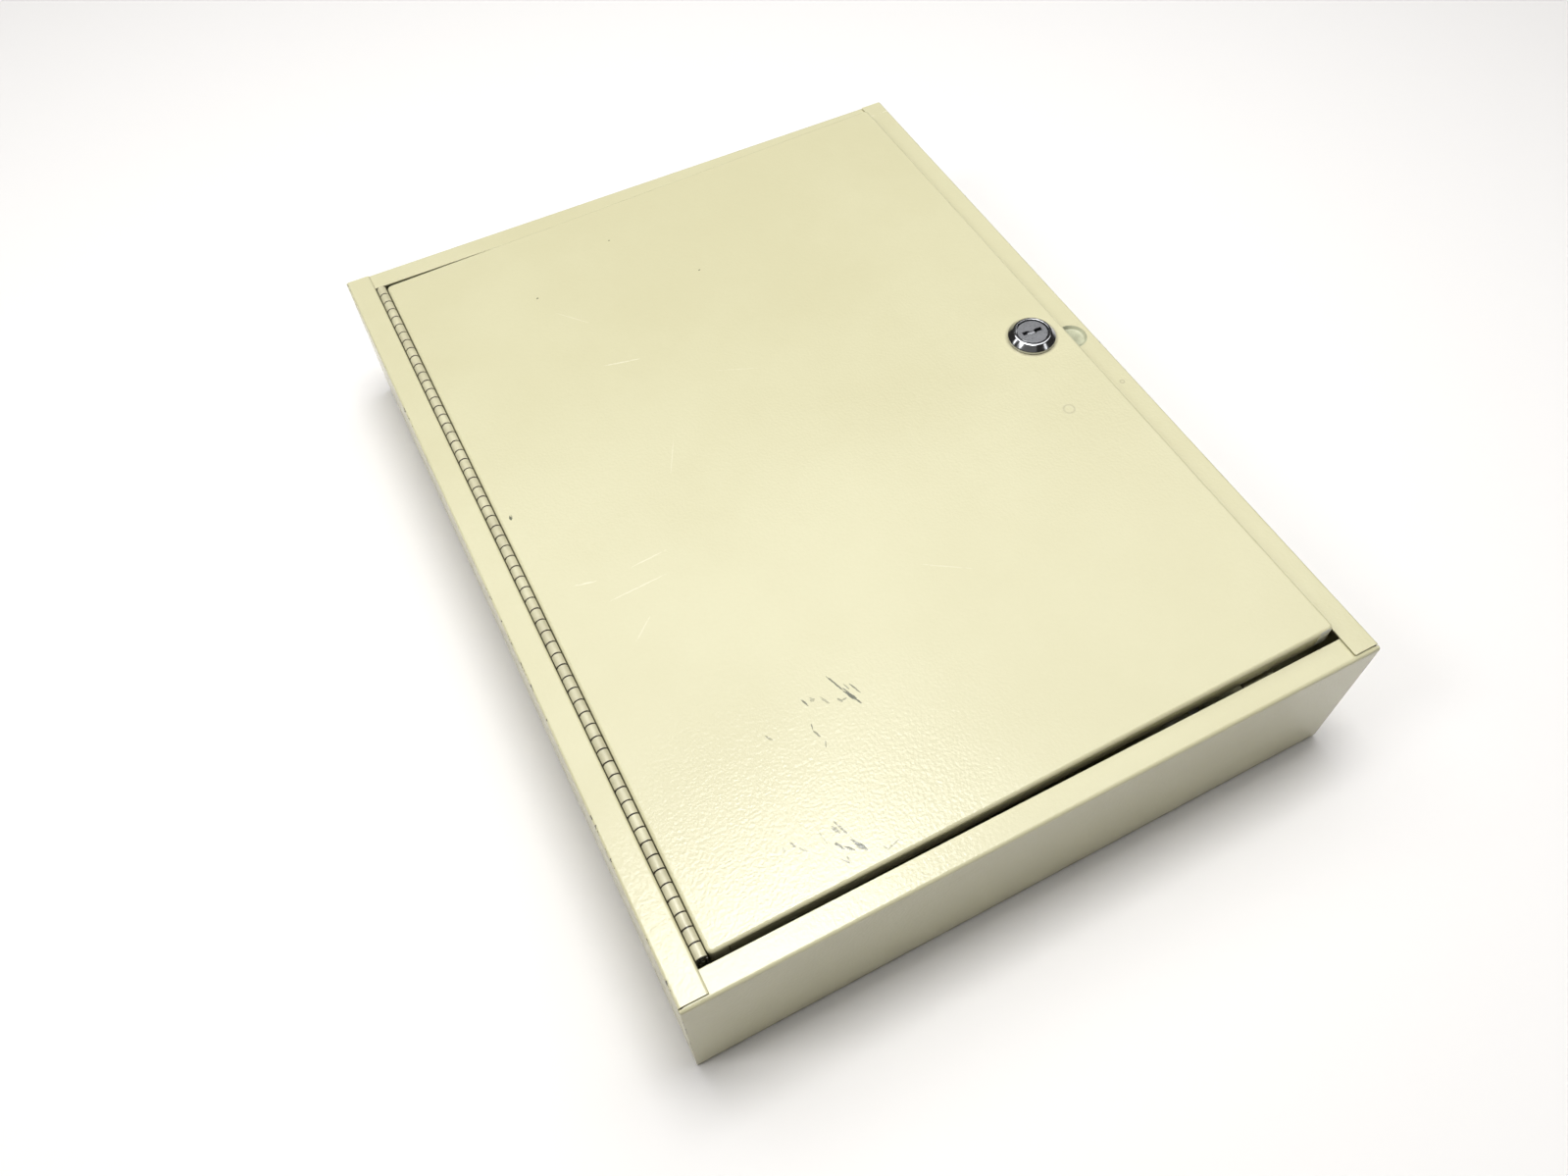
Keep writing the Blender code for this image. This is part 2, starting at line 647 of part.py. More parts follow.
def hook_strip_mesh(name, count):
    """Channel-shaped strip whose hooks are punched from its face and folded out."""
    length = HOOK_PITCH * (count - 1) + HOOK_MARGIN + HOOK_MARGIN
    edge = STRIP_HEIGHT / 2
    section = bent_sheet([(-edge, 0), (-edge, STRIP_DEPTH), (edge, STRIP_DEPTH), (edge, 0)],
                         STRIP_SHEET, STRIP_BEND_RADIUS, steps=2)
    bm = bmesh.new()
    add_prism(bm, section, -length / 2, length / 2, "X")
    strip = add_piece(name + "_blank", mesh_from(bm, name), "zinc_plate")
    windows = bmesh.new()
    hooks = bmesh.new()
    half_sheet = STRIP_SHEET / 2
    for index in range(count):
        root = (index - (count - 1) / 2) * HOOK_PITCH - HOOK_REACH / 2
        window = [(root + reach, height) for reach, height in hook_outline()]
        add_prism(windows, window, STRIP_DEPTH - STRIP_SHEET - CUT_OVERRUN, STRIP_DEPTH + CUT_OVERRUN, "Z")
        reach_out = [(height, max(reach, -half_sheet) + STRIP_DEPTH) for reach, height in hook_outline()]
        reach_out[0] = (reach_out[0][0], STRIP_DEPTH - half_sheet)
        reach_out[-1] = (reach_out[-1][0], STRIP_DEPTH - half_sheet)
        add_prism(hooks, reach_out, root - half_sheet, root + half_sheet, "X")
    window_tool = add_tool(name + "_window_cutter", windows)
    hook_tool = add_tool(name + "_hook_shapes", hooks)
    combine(strip, window_tool, "DIFFERENCE")
    combine(strip, hook_tool, "UNION")
    mesh = applied_mesh(strip, name)
    for thing in (strip, window_tool, hook_tool):
        bpy.data.objects.remove(thing)
    return mesh


def label_mesh(name, length):
    """Paper number strip that lies on a hook strip's face, above its hooks."""
    bm = bmesh.new()
    top = STRIP_HEIGHT / 2 - LABEL_FROM_EDGE
    half = length / 2 - LABEL_END_MARGIN
    low = (-half, top - LABEL_HEIGHT, STRIP_DEPTH + SEAT_GAP)
    add_box(bm, low, (half, top, STRIP_DEPTH + SEAT_GAP + LABEL_THICKNESS))
    return mesh_from(bm, name)


def row_heights(rows):
    """Heights of evenly spaced rows, from the top one down."""
    return [((rows - 1) / 2 - row) * ROW_PITCH for row in range(rows)]


def make_hook_rows(door_axis):
    """Rows of hook strips with number strips, on the back panel and behind the door."""
    strip = hook_strip_mesh("hook_strip", BODY_HOOKS)
    label = label_mesh("number_strip", BODY_STRIP_LENGTH)
    for row, height in enumerate(row_heights(BODY_ROWS), start=1):
        place = (0, height, PANEL_FRONT + SEAT_GAP)
        add_piece("hook_strip_%d" % row, strip, "zinc_plate", location=place)
        add_piece("number_strip_%d" % row, label, "paper", location=place)
    strip = hook_strip_mesh("door_hook_strip", DOOR_HOOKS)
    label = label_mesh("door_number_strip", DOOR_STRIP_LENGTH)
    middle = (DOOR_LEFT + DOOR_RIGHT) / 2 - DOOR_STRIP_SHIFT
    for row, height in enumerate(row_heights(DOOR_ROWS), start=1):
        place = (middle, height, DOOR_FACE - SHEET - SEAT_GAP)
        facing_in = (0, math.pi, 0)
        add_piece("door_hook_strip_%d" % row, strip, "zinc_plate", door_axis, place, facing_in)
        add_piece("door_number_strip_%d" % row, label, "paper", door_axis, place, facing_in)


def make_lock_housing(lock_seat):
    """Lock body: domed bezel on the door's face and a flatted barrel through its hole."""
    bore = PLUG_RADIUS + LOCK_FIT
    recess = FACE_RADIUS + LOCK_FIT
    recess_floor = BEZEL_HEIGHT - FACE_RECESS - FACE_THICKNESS - LOCK_FIT
    rim_edge = recess + BEZEL_RIM
    skirt_top = SEAT_GAP + BEZEL_SKIRT
    profile = [(bore, HOUSING_END), (HOUSING_RADIUS, HOUSING_END), (HOUSING_RADIUS, SEAT_GAP)]
    profile.append((BEZEL_RADIUS, SEAT_GAP))
    for step in range(BEZEL_DOME_STEPS + 1):
        angle = math.pi / 2 * step / BEZEL_DOME_STEPS
        radius = rim_edge + (BEZEL_RADIUS - rim_edge) * math.cos(angle)
        profile.append((radius, skirt_top + (BEZEL_HEIGHT - skirt_top) * math.sin(angle)))
    profile += [(recess, BEZEL_HEIGHT), (recess, recess_floor), (bore, recess_floor)]
    bm = bmesh.new()
    add_turned(bm, profile, LOCK_STEPS)
    housing = add_piece("lock_housing", mesh_from(bm, "lock_housing"), "chrome", parent=lock_seat)
    bm = bmesh.new()
    far = HOUSING_RADIUS + CUT_OVERRUN
    for side in (-1, 1):
        left, right = sorted((side * HOUSING_FLAT, side * far))
        add_box(bm, (left, -far, HOUSING_END - CUT_OVERRUN), (right, far, SEAT_GAP / 2))
    combine(housing, add_tool("housing_flat_cutter", bm, lock_seat), "DIFFERENCE")


def make_lock_fixings(lock_seat):
    """Washer and nut that clamp the housing behind the door's sheet."""
    hole = HOUSING_RADIUS + LOCK_FIT
    washer_top = -SHEET - SEAT_GAP
    washer_low = washer_top - LOCK_WASHER_THICKNESS
    bm = bmesh.new()
    ring = [
        (hole, washer_low), (LOCK_WASHER_RADIUS, washer_low),
        (LOCK_WASHER_RADIUS, washer_top), (hole, washer_top),
    ]
    add_turned(bm, ring, LOCK_STEPS)
    add_piece("lock_washer", mesh_from(bm, "lock_washer"), "zinc_plate", parent=lock_seat)
    nut_top = washer_low - SEAT_GAP
    nut_low = nut_top - NUT_THICKNESS
    corner = NUT_ACROSS_FLATS / 2 / math.cos(math.pi / 6)
    bm = bmesh.new()
    add_prism(bm, arc((0, 0), corner, 0, math.tau, 6)[:-1], nut_low, nut_top, "Z")
    nut = add_piece("lock_nut", mesh_from(bm, "lock_nut"), "zinc_plate", parent=lock_seat)
    bm = bmesh.new()
    bore = arc((0, 0), hole, 0, math.tau, LOCK_STEPS)[:-1]
    add_prism(bm, bore, nut_low - CUT_OVERRUN, nut_top + CUT_OVERRUN, "Z")
    combine(nut, add_tool("nut_bore_cutter", bm, lock_seat), "DIFFERENCE")


def keyway_outline():
    """Zigzag slot for a key cut on both sides: its two long walls step the same way."""
    half = KEYWAY_LENGTH / 2
    bend_shares = (-1.0, -0.45, -0.15, 0.15, 0.45, 1.0)
    swing_shares = (0.5, 0.5, -0.5, -0.5, 0.5, 0.5)
    upper = []
    lower = []
    for bend, swing in zip(bend_shares, swing_shares):
        along = half * bend
        middle = KEYWAY_STEP * swing
        upper.append((along, middle + KEYWAY_WIDTH / 2))
        lower.append((along, middle - KEYWAY_WIDTH / 2))
    turned = []
    for along, across in upper + lower[::-1]:
        x = along * math.cos(KEYWAY_TILT) - across * math.sin(KEYWAY_TILT)
        y = along * math.sin(KEYWAY_TILT) + across * math.cos(KEYWAY_TILT)
        turned.append((x, y))
    return turned


def make_lock_plug(lock_axis):
    """Turning core of the lock: a face with the keyway, a stem, and a square tail for the cam."""
    face_top = BEZEL_HEIGHT - FACE_RECESS
    face_low = face_top - FACE_THICKNESS
    stem_end = HOUSING_END - SEAT_GAP
    screw_hole = SCREW_SHANK_RADIUS + LOCK_FIT
    hole_end = TAIL_END + SCREW_ENGAGEMENT + SEAT_GAP
    profile = [
        (0, face_top), (FACE_RADIUS, face_top), (FACE_RADIUS, face_low), (PLUG_RADIUS, face_low),
        (PLUG_RADIUS, stem_end), (0, stem_end),
    ]
    bm = bmesh.new()
    add_turned(bm, profile, LOCK_STEPS, closed=False)
    plug = add_piece("lock_plug", mesh_from(bm, "lock_plug"), "chrome", parent=lock_axis)
    bm = bmesh.new()
    half_tail = TAIL_WIDTH / 2
    add_box(bm, (-half_tail, -half_tail, TAIL_END), (half_tail, half_tail, stem_end + CUT_OVERRUN))
    combine(plug, add_tool("plug_tail_shape", bm, lock_axis), "UNION")
    bm = bmesh.new()
    hole = arc((0, 0), screw_hole, 0, math.tau, SCREW_STEPS)[:-1]
    add_prism(bm, hole, TAIL_END - CUT_OVERRUN, hole_end, "Z")
    combine(plug, add_tool("plug_screw_cutter", bm, lock_axis), "DIFFERENCE")
    bm = bmesh.new()
    add_prism(bm, keyway_outline(), face_top - KEYWAY_DEPTH, face_top + CUT_OVERRUN, "Z")
    combine(plug, add_tool("keyway_cutter", bm, lock_axis), "DIFFERENCE")


def cam_outline():
    """Plan of the cam: a round hub and a tongue that points down when the lock is open."""
    half = CAM_WIDTH / 2
    corner = CAM_TIP_RADIUS
    lean = math.asin(half / CAM_HUB_RADIUS)
    hub_start = lean - math.pi / 2
    hub_end = math.pi * 3 / 2 - lean
    outline = arc((0, 0), CAM_HUB_RADIUS, hub_start, hub_end, CAM_HUB_STEPS)
    outline += arc((corner - half, corner - CAM_LENGTH), corner, math.pi, math.pi * 3 / 2, CAM_TIP_STEPS)
    outline += arc((half - corner, corner - CAM_LENGTH), corner, -math.pi / 2, 0, CAM_TIP_STEPS)
    return outline


def make_cam(lock_axis):
    """Flat steel cam, cranked towards the door so that its tongue catches behind the side flange."""
    bm = bmesh.new()
    add_prism(bm, cam_outline(), CAM_BOTTOM, CAM_TOP, "Z")
    for distance in (CAM_CRANK_START, CAM_CRANK_START + CAM_CRANK_RUN):
        everything = bm.verts[:] + bm.edges[:] + bm.faces[:]
        bmesh.ops.bisect_plane(bm, geom=everything, plane_co=(0, -distance, 0), plane_no=(0, 1, 0))
    for corner in bm.verts:
        run = min(max(-corner.co.y - CAM_CRANK_START, 0), CAM_CRANK_RUN)
        corner.co.z += CAM_CRANK * run / CAM_CRANK_RUN
    cam = add_piece("lock_cam", mesh_from(bm, "lock_cam"), "zinc_plate", parent=lock_axis)
    bm = bmesh.new()
    half = TAIL_WIDTH / 2 + LOCK_FIT
    add_box(bm, (-half, -half, CAM_BOTTOM - CUT_OVERRUN), (half, half, CAM_TOP + CUT_OVERRUN))
    combine(cam, add_tool("cam_hole_cutter", bm, lock_axis), "DIFFERENCE")


def make_cam_screw(lock_axis):
    """Washer and slotted screw that hold the cam on the plug's tail."""
    hole = SCREW_SHANK_RADIUS + LOCK_FIT
    washer_low = CAM_WASHER_TOP - CAM_WASHER_THICKNESS
    ring = [
        (hole, washer_low), (CAM_WASHER_RADIUS, washer_low),
        (CAM_WASHER_RADIUS, CAM_WASHER_TOP), (hole, CAM_WASHER_TOP),
    ]
    bm = bmesh.new()
    add_turned(bm, ring, SCREW_STEPS)
    add_piece("cam_washer", mesh_from(bm, "cam_washer"), "zinc_plate", parent=lock_axis)
    head_low = SCREW_HEAD_TOP - SCREW_HEAD_HEIGHT
    shank_top = TAIL_END + SCREW_ENGAGEMENT
    profile = [
        (0, shank_top), (SCREW_SHANK_RADIUS, shank_top), (SCREW_SHANK_RADIUS, SCREW_HEAD_TOP),
        (SCREW_HEAD_RADIUS, SCREW_HEAD_TOP), (SCREW_HEAD_RADIUS, head_low), (0, head_low),
    ]
    bm = bmesh.new()
    add_turned(bm, profile, SCREW_STEPS, closed=False)
    screw = add_piece("cam_screw", mesh_from(bm, "cam_screw"), "zinc_plate", parent=lock_axis)
    bm = bmesh.new()
    half = SCREW_SLOT_WIDTH / 2
    far = SCREW_HEAD_RADIUS + CUT_OVERRUN
    add_box(bm, (-half, -far, head_low - CUT_OVERRUN), (half, far, head_low + SCREW_SLOT_DEPTH))
    combine(screw, add_tool("screw_slot_cutter", bm, lock_axis), "DIFFERENCE")


def main():
    """Builds the cabinet, its door and its lock."""
    clear_scene()
    door_axis = add_empty("door_axis", (AXIS_X, 0, AXIS_Z), (0, -DOOR_AJAR, 0))
    lock_axis = add_empty("lock_axis", (LOCK_U, LOCK_RISE, DOOR_FACE), parent=door_axis)
    make_left_side()
    make_right_side()
    make_end("bottom_end", -1)
    make_end("top_end", 1)
    make_back_panel()
    make_door_stops()
    make_hinge(door_axis)
    make_door_pan(door_axis)
    make_hook_rows(door_axis)
    make_lock_housing(lock_axis)
    make_lock_fixings(lock_axis)
    make_lock_plug(lock_axis)
    make_cam(lock_axis)
    make_cam_screw(lock_axis)


main()
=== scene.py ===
# %% [markdown]
# # A wall key cabinet in folded sheet steel
# The real thing is a shallow steel box that lies here on its back. A pan-shaped door hangs on a long
# continuous hinge and stands a little open, a cam lock sits near its free edge, and strips of hooks
# for keys are fixed inside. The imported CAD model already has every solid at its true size, so this
# lesson spends its effort on finishes and on the fine shapes that a camera picks up.

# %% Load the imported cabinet
import json
import math

import bmesh
import bpy
import numpy as np
from mathutils import Matrix, Vector
from mathutils.geometry import tessellate_polygon


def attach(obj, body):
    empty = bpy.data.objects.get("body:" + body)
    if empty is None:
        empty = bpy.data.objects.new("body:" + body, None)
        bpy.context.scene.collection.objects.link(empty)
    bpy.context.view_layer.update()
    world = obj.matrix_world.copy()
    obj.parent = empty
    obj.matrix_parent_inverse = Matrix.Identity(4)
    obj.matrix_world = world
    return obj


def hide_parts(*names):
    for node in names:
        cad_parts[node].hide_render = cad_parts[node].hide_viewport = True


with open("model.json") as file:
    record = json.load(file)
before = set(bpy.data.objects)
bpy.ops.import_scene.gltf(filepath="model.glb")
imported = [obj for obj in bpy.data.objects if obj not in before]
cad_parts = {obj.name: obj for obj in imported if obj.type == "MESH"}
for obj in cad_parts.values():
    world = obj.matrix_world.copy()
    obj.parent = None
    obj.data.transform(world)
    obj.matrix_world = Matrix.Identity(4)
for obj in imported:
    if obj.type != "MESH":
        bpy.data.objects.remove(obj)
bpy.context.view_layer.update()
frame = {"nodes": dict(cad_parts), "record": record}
nodes = frame["nodes"]

# %% [markdown]
# Every length below is a count of millimetres times MM, so that a reader can hold a ruler to it.
# The door's pieces lean with the door: a hinge coordinate (u along the door from the pin, v along
# the pin, n out of the door's face) is turned into the cabinet's own X, Y and Z by one function.

# %% Units and the door's own directions
MM = 0.001
HINGE_AXIS = np.array([-148.1, 0.0, 82.8]) * MM
DOOR_AJAR = math.radians(1.5)
CABINET_HALF = np.array([163.5, 214.3]) * MM
CABINET_DEPTH = 84.0 * MM
OPENING_HALF = np.array([150.8, 202.6]) * MM
LOCK_PLACE = np.array([277.4, 1.5, 1.2]) * MM


def on_door(points):
    """Places in the cabinet of hinge coordinates: u and n turn by the door's small angle about the pin."""
    points = np.asarray(points, float)
    u, v, n = points[..., 0], points[..., 1], points[..., 2]
    x = HINGE_AXIS[0] + u * math.cos(DOOR_AJAR) - n * math.sin(DOOR_AJAR)
    z = HINGE_AXIS[2] + u * math.sin(DOOR_AJAR) + n * math.cos(DOOR_AJAR)
    return np.stack([x, HINGE_AXIS[1] + v, z], -1)


def on_lock(points):
    """Places in the cabinet of lock coordinates, whose origin is on the door's face at the lock's axis."""
    return on_door(np.asarray(points, float) + LOCK_PLACE)


print("lock centre", on_lock([0, 0, 0]).round(4))

# %% [markdown]
# ## The camera
# A camera is four facts: where it stands, what it looks at, how far it is rolled, and its lens.
# They could be found by trial, but six corners of the cabinet and its proportions fix them all,
# so these numbers are the solved ones.

# %% Stand the camera where the photographer stood
camera_data = bpy.data.cameras.new("camera")
camera_data.lens = 27.90
camera_data.sensor_width = 36.0
camera_data.sensor_fit = "HORIZONTAL"
camera_data.clip_start = 0.01
camera = bpy.data.objects.new("camera", camera_data)
bpy.context.scene.collection.objects.link(camera)
camera_place = Vector((-0.1747, -0.3343, 0.5313))
camera_look = Vector((0.23926, 0.49484, -0.83540)).normalized()
camera_roll = math.radians(-1.80)
level_right = camera_look.cross(Vector((0, 0, 1))).normalized()
level_up = level_right.cross(camera_look)
right = level_right * math.cos(camera_roll) + level_up * math.sin(camera_roll)
up = right.cross(camera_look)
camera_turn = Matrix((right, up, -camera_look)).transposed().to_4x4()
camera.matrix_world = Matrix.Translation(camera_place) @ camera_turn
bpy.context.scene.camera = camera
print("camera right", tuple(round(part, 4) for part in right))

# %% [markdown]
# ## Floor and light
# The cabinet was photographed on white card under broad soft light. One large panel overhead
# lights the front evenly, and a dim warm sky is all that reaches the lower side. A small strong
# panel stands where the near corner mirrors it, which makes the glare that brings out the paint's
# grain, and weak ones in front and on the left soften the shadows. A dim wall behind the camera and
# two small lamps far off add almost no light, but the chrome mirrors them: without a dark grey to
# mirror between its bright dots, chrome turns black.

# %% Floor, sky, light panels and what the chrome mirrors
FLOOR_DROP = 0.3 * MM
FLOOR_HALF = 4.0
FLOOR_WHITE = (0.83, 0.815, 0.80, 1)
SKY_COLOUR, SKY_STRENGTH = (1.0, 0.94, 0.89, 1), 0.04
CABINET_MIDDLE = (0, 0, 0.05)
# name, place, the point it faces, width and height, all in metres, and its power in watts
PANELS = (
    ("overhead_panel", (0.15, 0.42, 1.5), CABINET_MIDDLE, (2.2, 1.1), 17.5),
    ("glare_panel", (0.0, 0.08, 1.5), CABINET_MIDDLE, (0.5, 0.45), 10),
    ("front_panel", (0.15, -0.25, 1.5), (0.15, -0.25, 0.05), (0.5, 0.3), 4.5),
    ("left_panel", (-1.2, 0.05, 1.4), CABINET_MIDDLE, (0.4, 0.4), 7),
    ("dim_wall", (-0.87, -1.11, 1.43), (0.13, 0, 0.09), (2.0, 1.3), 1.0),
    ("left_lamp", (-1.19, 0.83, 1.0), CABINET_MIDDLE, (0.25, 0.25), 0.6),
    ("right_lamp", (1.09, -1.23, 1.0), CABINET_MIDDLE, (0.25, 0.25), 0.6),
)


def add_panel(name, place, aim, size, power):
    """A rectangular light panel that stands at a place and faces a point."""
    data = bpy.data.lights.new(name, "AREA")
    data.shape = "RECTANGLE"
    data.size, data.size_y = size
    data.energy = power
    light = bpy.data.objects.new(name, data)
    bpy.context.scene.collection.objects.link(light)
    light.location = place
    light.rotation_euler = (Vector(aim) - Vector(place)).to_track_quat("-Z", "Y").to_euler()


floor_mesh = bpy.data.meshes.new("floor")
corner_signs = ((-1, -1), (1, -1), (1, 1), (-1, 1))
floor_corners = [(x * FLOOR_HALF, y * FLOOR_HALF, -FLOOR_DROP) for x, y in corner_signs]
floor_mesh.from_pydata(floor_corners, [], [(0, 1, 2, 3)])
floor = bpy.data.objects.new("floor", floor_mesh)
bpy.context.scene.collection.objects.link(floor)
floor_material = bpy.data.materials.new("white_card")
floor_material.use_nodes = True
floor_shader = floor_material.node_tree.nodes["Principled BSDF"]
floor_shader.inputs["Base Color"].default_value = FLOOR_WHITE
floor_shader.inputs["Roughness"].default_value = 0.85
floor_mesh.materials.append(floor_material)

bpy.context.scene.view_settings.view_transform = "Standard"
world = bpy.data.worlds.new("studio_sky")
bpy.context.scene.world = world
world.use_nodes = True
world.node_tree.nodes["Background"].inputs["Color"].default_value = SKY_COLOUR
world.node_tree.nodes["Background"].inputs["Strength"].default_value = SKY_STRENGTH
for panel in PANELS:
    add_panel(*panel)

# %% [markdown]
# ## Building node materials in code
# A node material is a small circuit. Writing each node by hand takes five lines, so three helpers
# do it: one places a node and fills or wires its sockets, one does arithmetic, and one opens a
# node group. A group is a circuit with named sockets that many materials can share.

# %% Helpers that place nodes
def put(tree, kind, sockets=None, **settings):
    """A node of some kind. Each socket takes a value, or another node's output to be wired to it."""
    node = tree.nodes.new(kind)
    for name, value in settings.items():
        setattr(node, name, value)
    for name, value in (sockets or {}).items():
        if isinstance(value, bpy.types.NodeSocket):
            tree.links.new(value, node.inputs[name])
        else:
            node.inputs[name].default_value = value
    return node


def calc(tree, operation, first, second=0.0, third=0.0, clamp=False):
    """One step of arithmetic on numbers or sockets, as a socket."""
    sockets = {0: first, 1: second, 2: third}
    return put(tree, "ShaderNodeMath", sockets, operation=operation, use_clamp=clamp).outputs[0]


def ramp(tree, value, low, high, start=0.0, end=1.0):
    """A smooth step: start below low, end above high."""
    sockets = {"Value": value, "From Min": low, "From Max": high, "To Min": start, "To Max": end}
    return put(tree, "ShaderNodeMapRange", sockets, interpolation_type="SMOOTHSTEP").outputs["Result"]


def blend_colour(tree, share, first, second, kind="MIX"):
    """Two colours mixed by a share from 0 to 1."""
    sockets = {0: share, 6: first, 7: second}
    return put(tree, "ShaderNodeMix", sockets, data_type="RGBA", blend_type=kind).outputs[2]


def noise(tree, vector, scale, detail=3.0, roughness=0.5):
    """Cloudy noise with features about 1/scale metres across."""
    sockets = {"Vector": vector, "Scale": scale, "Detail": detail, "Roughness": roughness}
    return put(tree, "ShaderNodeTexNoise", sockets).outputs["Fac"]


def open_group(name, inputs, outputs):
    """A new node group with named sockets: (tree, its input sockets, its output node)."""
    tree = bpy.data.node_groups.new(name, "ShaderNodeTree")
    for label, kind, value in inputs:
        socket = tree.interface.new_socket(label, in_out="INPUT", socket_type="NodeSocket" + kind)
        if value is not None:
            socket.default_value = value
    for label, kind in outputs:
        tree.interface.new_socket(label, in_out="OUTPUT", socket_type="NodeSocket" + kind)
    entry = tree.nodes.new("NodeGroupInput")
    leave = tree.nodes.new("NodeGroupOutput")
    return tree, entry.outputs, leave


def use_group(tree, group, sockets):
    """Places a node group in a material, with its own values."""
    return put(tree, "ShaderNodeGroup", sockets, node_tree=group).outputs


def open_material(name):
    """A new material: (material, its tree, its shader, object coordinates)."""
    material = bpy.data.materials.new(name)
    material.use_nodes = True
    tree = material.node_tree
    place = put(tree, "ShaderNodeTexCoord").outputs["Object"]
    return material, tree, tree.nodes["Principled BSDF"], place


# %% [markdown]
# ### Group 1: the skin of sprayed enamel
# Baked enamel on steel isn't smooth: it dries into a fine orange peel of about one millimetre, and
# the pigment is a touch uneven from place to place. A painted texture could show it, but two
# layers of noise give relief that catches real light, and they work at any size of picture.

# %% Orange peel and uneven pigment
enamel_skin, skin_in, skin_out = open_group(
    "enamel_skin",
    [("Vector", "Vector", None), ("Pale", "Color", (1, 1, 1, 1)), ("Deep", "Color", (0.5, 0.5, 0.5, 1)),
     ("Peel Scale", "Float", 1000.0), ("Cloud Scale", "Float", 12.0)],
    [("Color", "Color"), ("Roughness", "Float"), ("Height", "Float")])
clouds = noise(enamel_skin, skin_in["Vector"], skin_in["Cloud Scale"], 4.0, 0.6)
peel = noise(enamel_skin, skin_in["Vector"], skin_in["Peel Scale"], 1.0, 0.45)
smudge_scale = calc(enamel_skin, "MULTIPLY", skin_in["Cloud Scale"], 3.0)
smudges = noise(enamel_skin, skin_in["Vector"], smudge_scale, 5.0, 0.65)
cloud_share = ramp(enamel_skin, clouds, 0.32, 0.68)
skin_tone = blend_colour(enamel_skin, cloud_share, skin_in["Pale"], skin_in["Deep"])
peel_tone = ramp(enamel_skin, peel, 0.35, 0.65, 0.0, 0.10)
skin_colour = blend_colour(enamel_skin, peel_tone, skin_tone, skin_in["Deep"])
enamel_skin.links.new(skin_colour, skin_out.inputs["Color"])
enamel_skin.links.new(ramp(enamel_skin, smudges, 0.3, 0.7, 0.20, 0.23), skin_out.inputs["Roughness"])
enamel_skin.links.new(peel, skin_out.inputs["Height"])
print("group", enamel_skin.name, "with", len(enamel_skin.nodes), "nodes")

# %% [markdown]
# ### Group 2: wear along the edges of a box
# Paint goes first along folded edges. A point on a box lies on one face, so the smaller of its
# distances to the other faces says how near an edge it is. That is the middle one of its three
# distances. Noise then breaks the edge's band into separate chips.

# %% Chips near a box's edges
edge_wear, wear_in, wear_out = open_group(
    "edge_wear",
    [("Vector", "Vector", None), ("Centre", "Vector", (0, 0, 0)), ("Half Size", "Vector", (1, 1, 1)),
     ("Width", "Float", 0.002), ("Amount", "Float", 0.5), ("Chip Scale", "Float", 300.0)],
    [("Mask", "Float")])
from_centre = put(edge_wear, "ShaderNodeVectorMath", {0: wear_in["Vector"], 1: wear_in["Centre"]},
                  operation="SUBTRACT").outputs[0]
outward = put(edge_wear, "ShaderNodeVectorMath", {0: from_centre}, operation="ABSOLUTE").outputs[0]
inward = put(edge_wear, "ShaderNodeVectorMath", {0: wear_in["Half Size"], 1: outward},
             operation="SUBTRACT").outputs[0]
distance = put(edge_wear, "ShaderNodeVectorMath", {0: inward}, operation="ABSOLUTE").outputs[0]
apart = put(edge_wear, "ShaderNodeSeparateXYZ", {0: distance}).outputs
lesser = calc(edge_wear, "MINIMUM", apart[0], apart[1])
greater = calc(edge_wear, "MAXIMUM", apart[0], apart[1])
middle = calc(edge_wear, "MAXIMUM", lesser, calc(edge_wear, "MINIMUM", greater, apart[2]))
nearness = calc(edge_wear, "SUBTRACT", 1.0, calc(edge_wear, "DIVIDE", middle, wear_in["Width"]), clamp=True)
chips = noise(edge_wear, wear_in["Vector"], wear_in["Chip Scale"], 4.0, 0.7)
patches = noise(edge_wear, wear_in["Vector"], calc(edge_wear, "MULTIPLY", wear_in["Chip Scale"], 0.12), 2.0)
broken = calc(edge_wear, "MULTIPLY", chips, patches)
worn = calc(edge_wear, "ADD", broken, calc(edge_wear, "MULTIPLY", nearness, 0.25))
limit = calc(edge_wear, "SUBTRACT", 0.62, calc(edge_wear, "MULTIPLY", wear_in["Amount"], 0.2))
hits = ramp(edge_wear, calc(edge_wear, "SUBTRACT", worn, limit), 0.0, 0.02)
chip_mask = calc(edge_wear, "MULTIPLY", hits, ramp(edge_wear, nearness, 0.0, 0.3))
edge_wear.links.new(chip_mask, wear_out.inputs["Mask"])
print("group", edge_wear.name, "with", len(edge_wear.nodes), "nodes")

# %% [markdown]
# ### Group 3: a scuff
# Years of hands and tools leave rubbed marks at certain places on a door. Each is an ellipse at a
# place, turned by an angle, whose edge is torn by stretched noise. The group gives a mask, and the
# material decides whether the mark is dark dirt or a pale scratch.

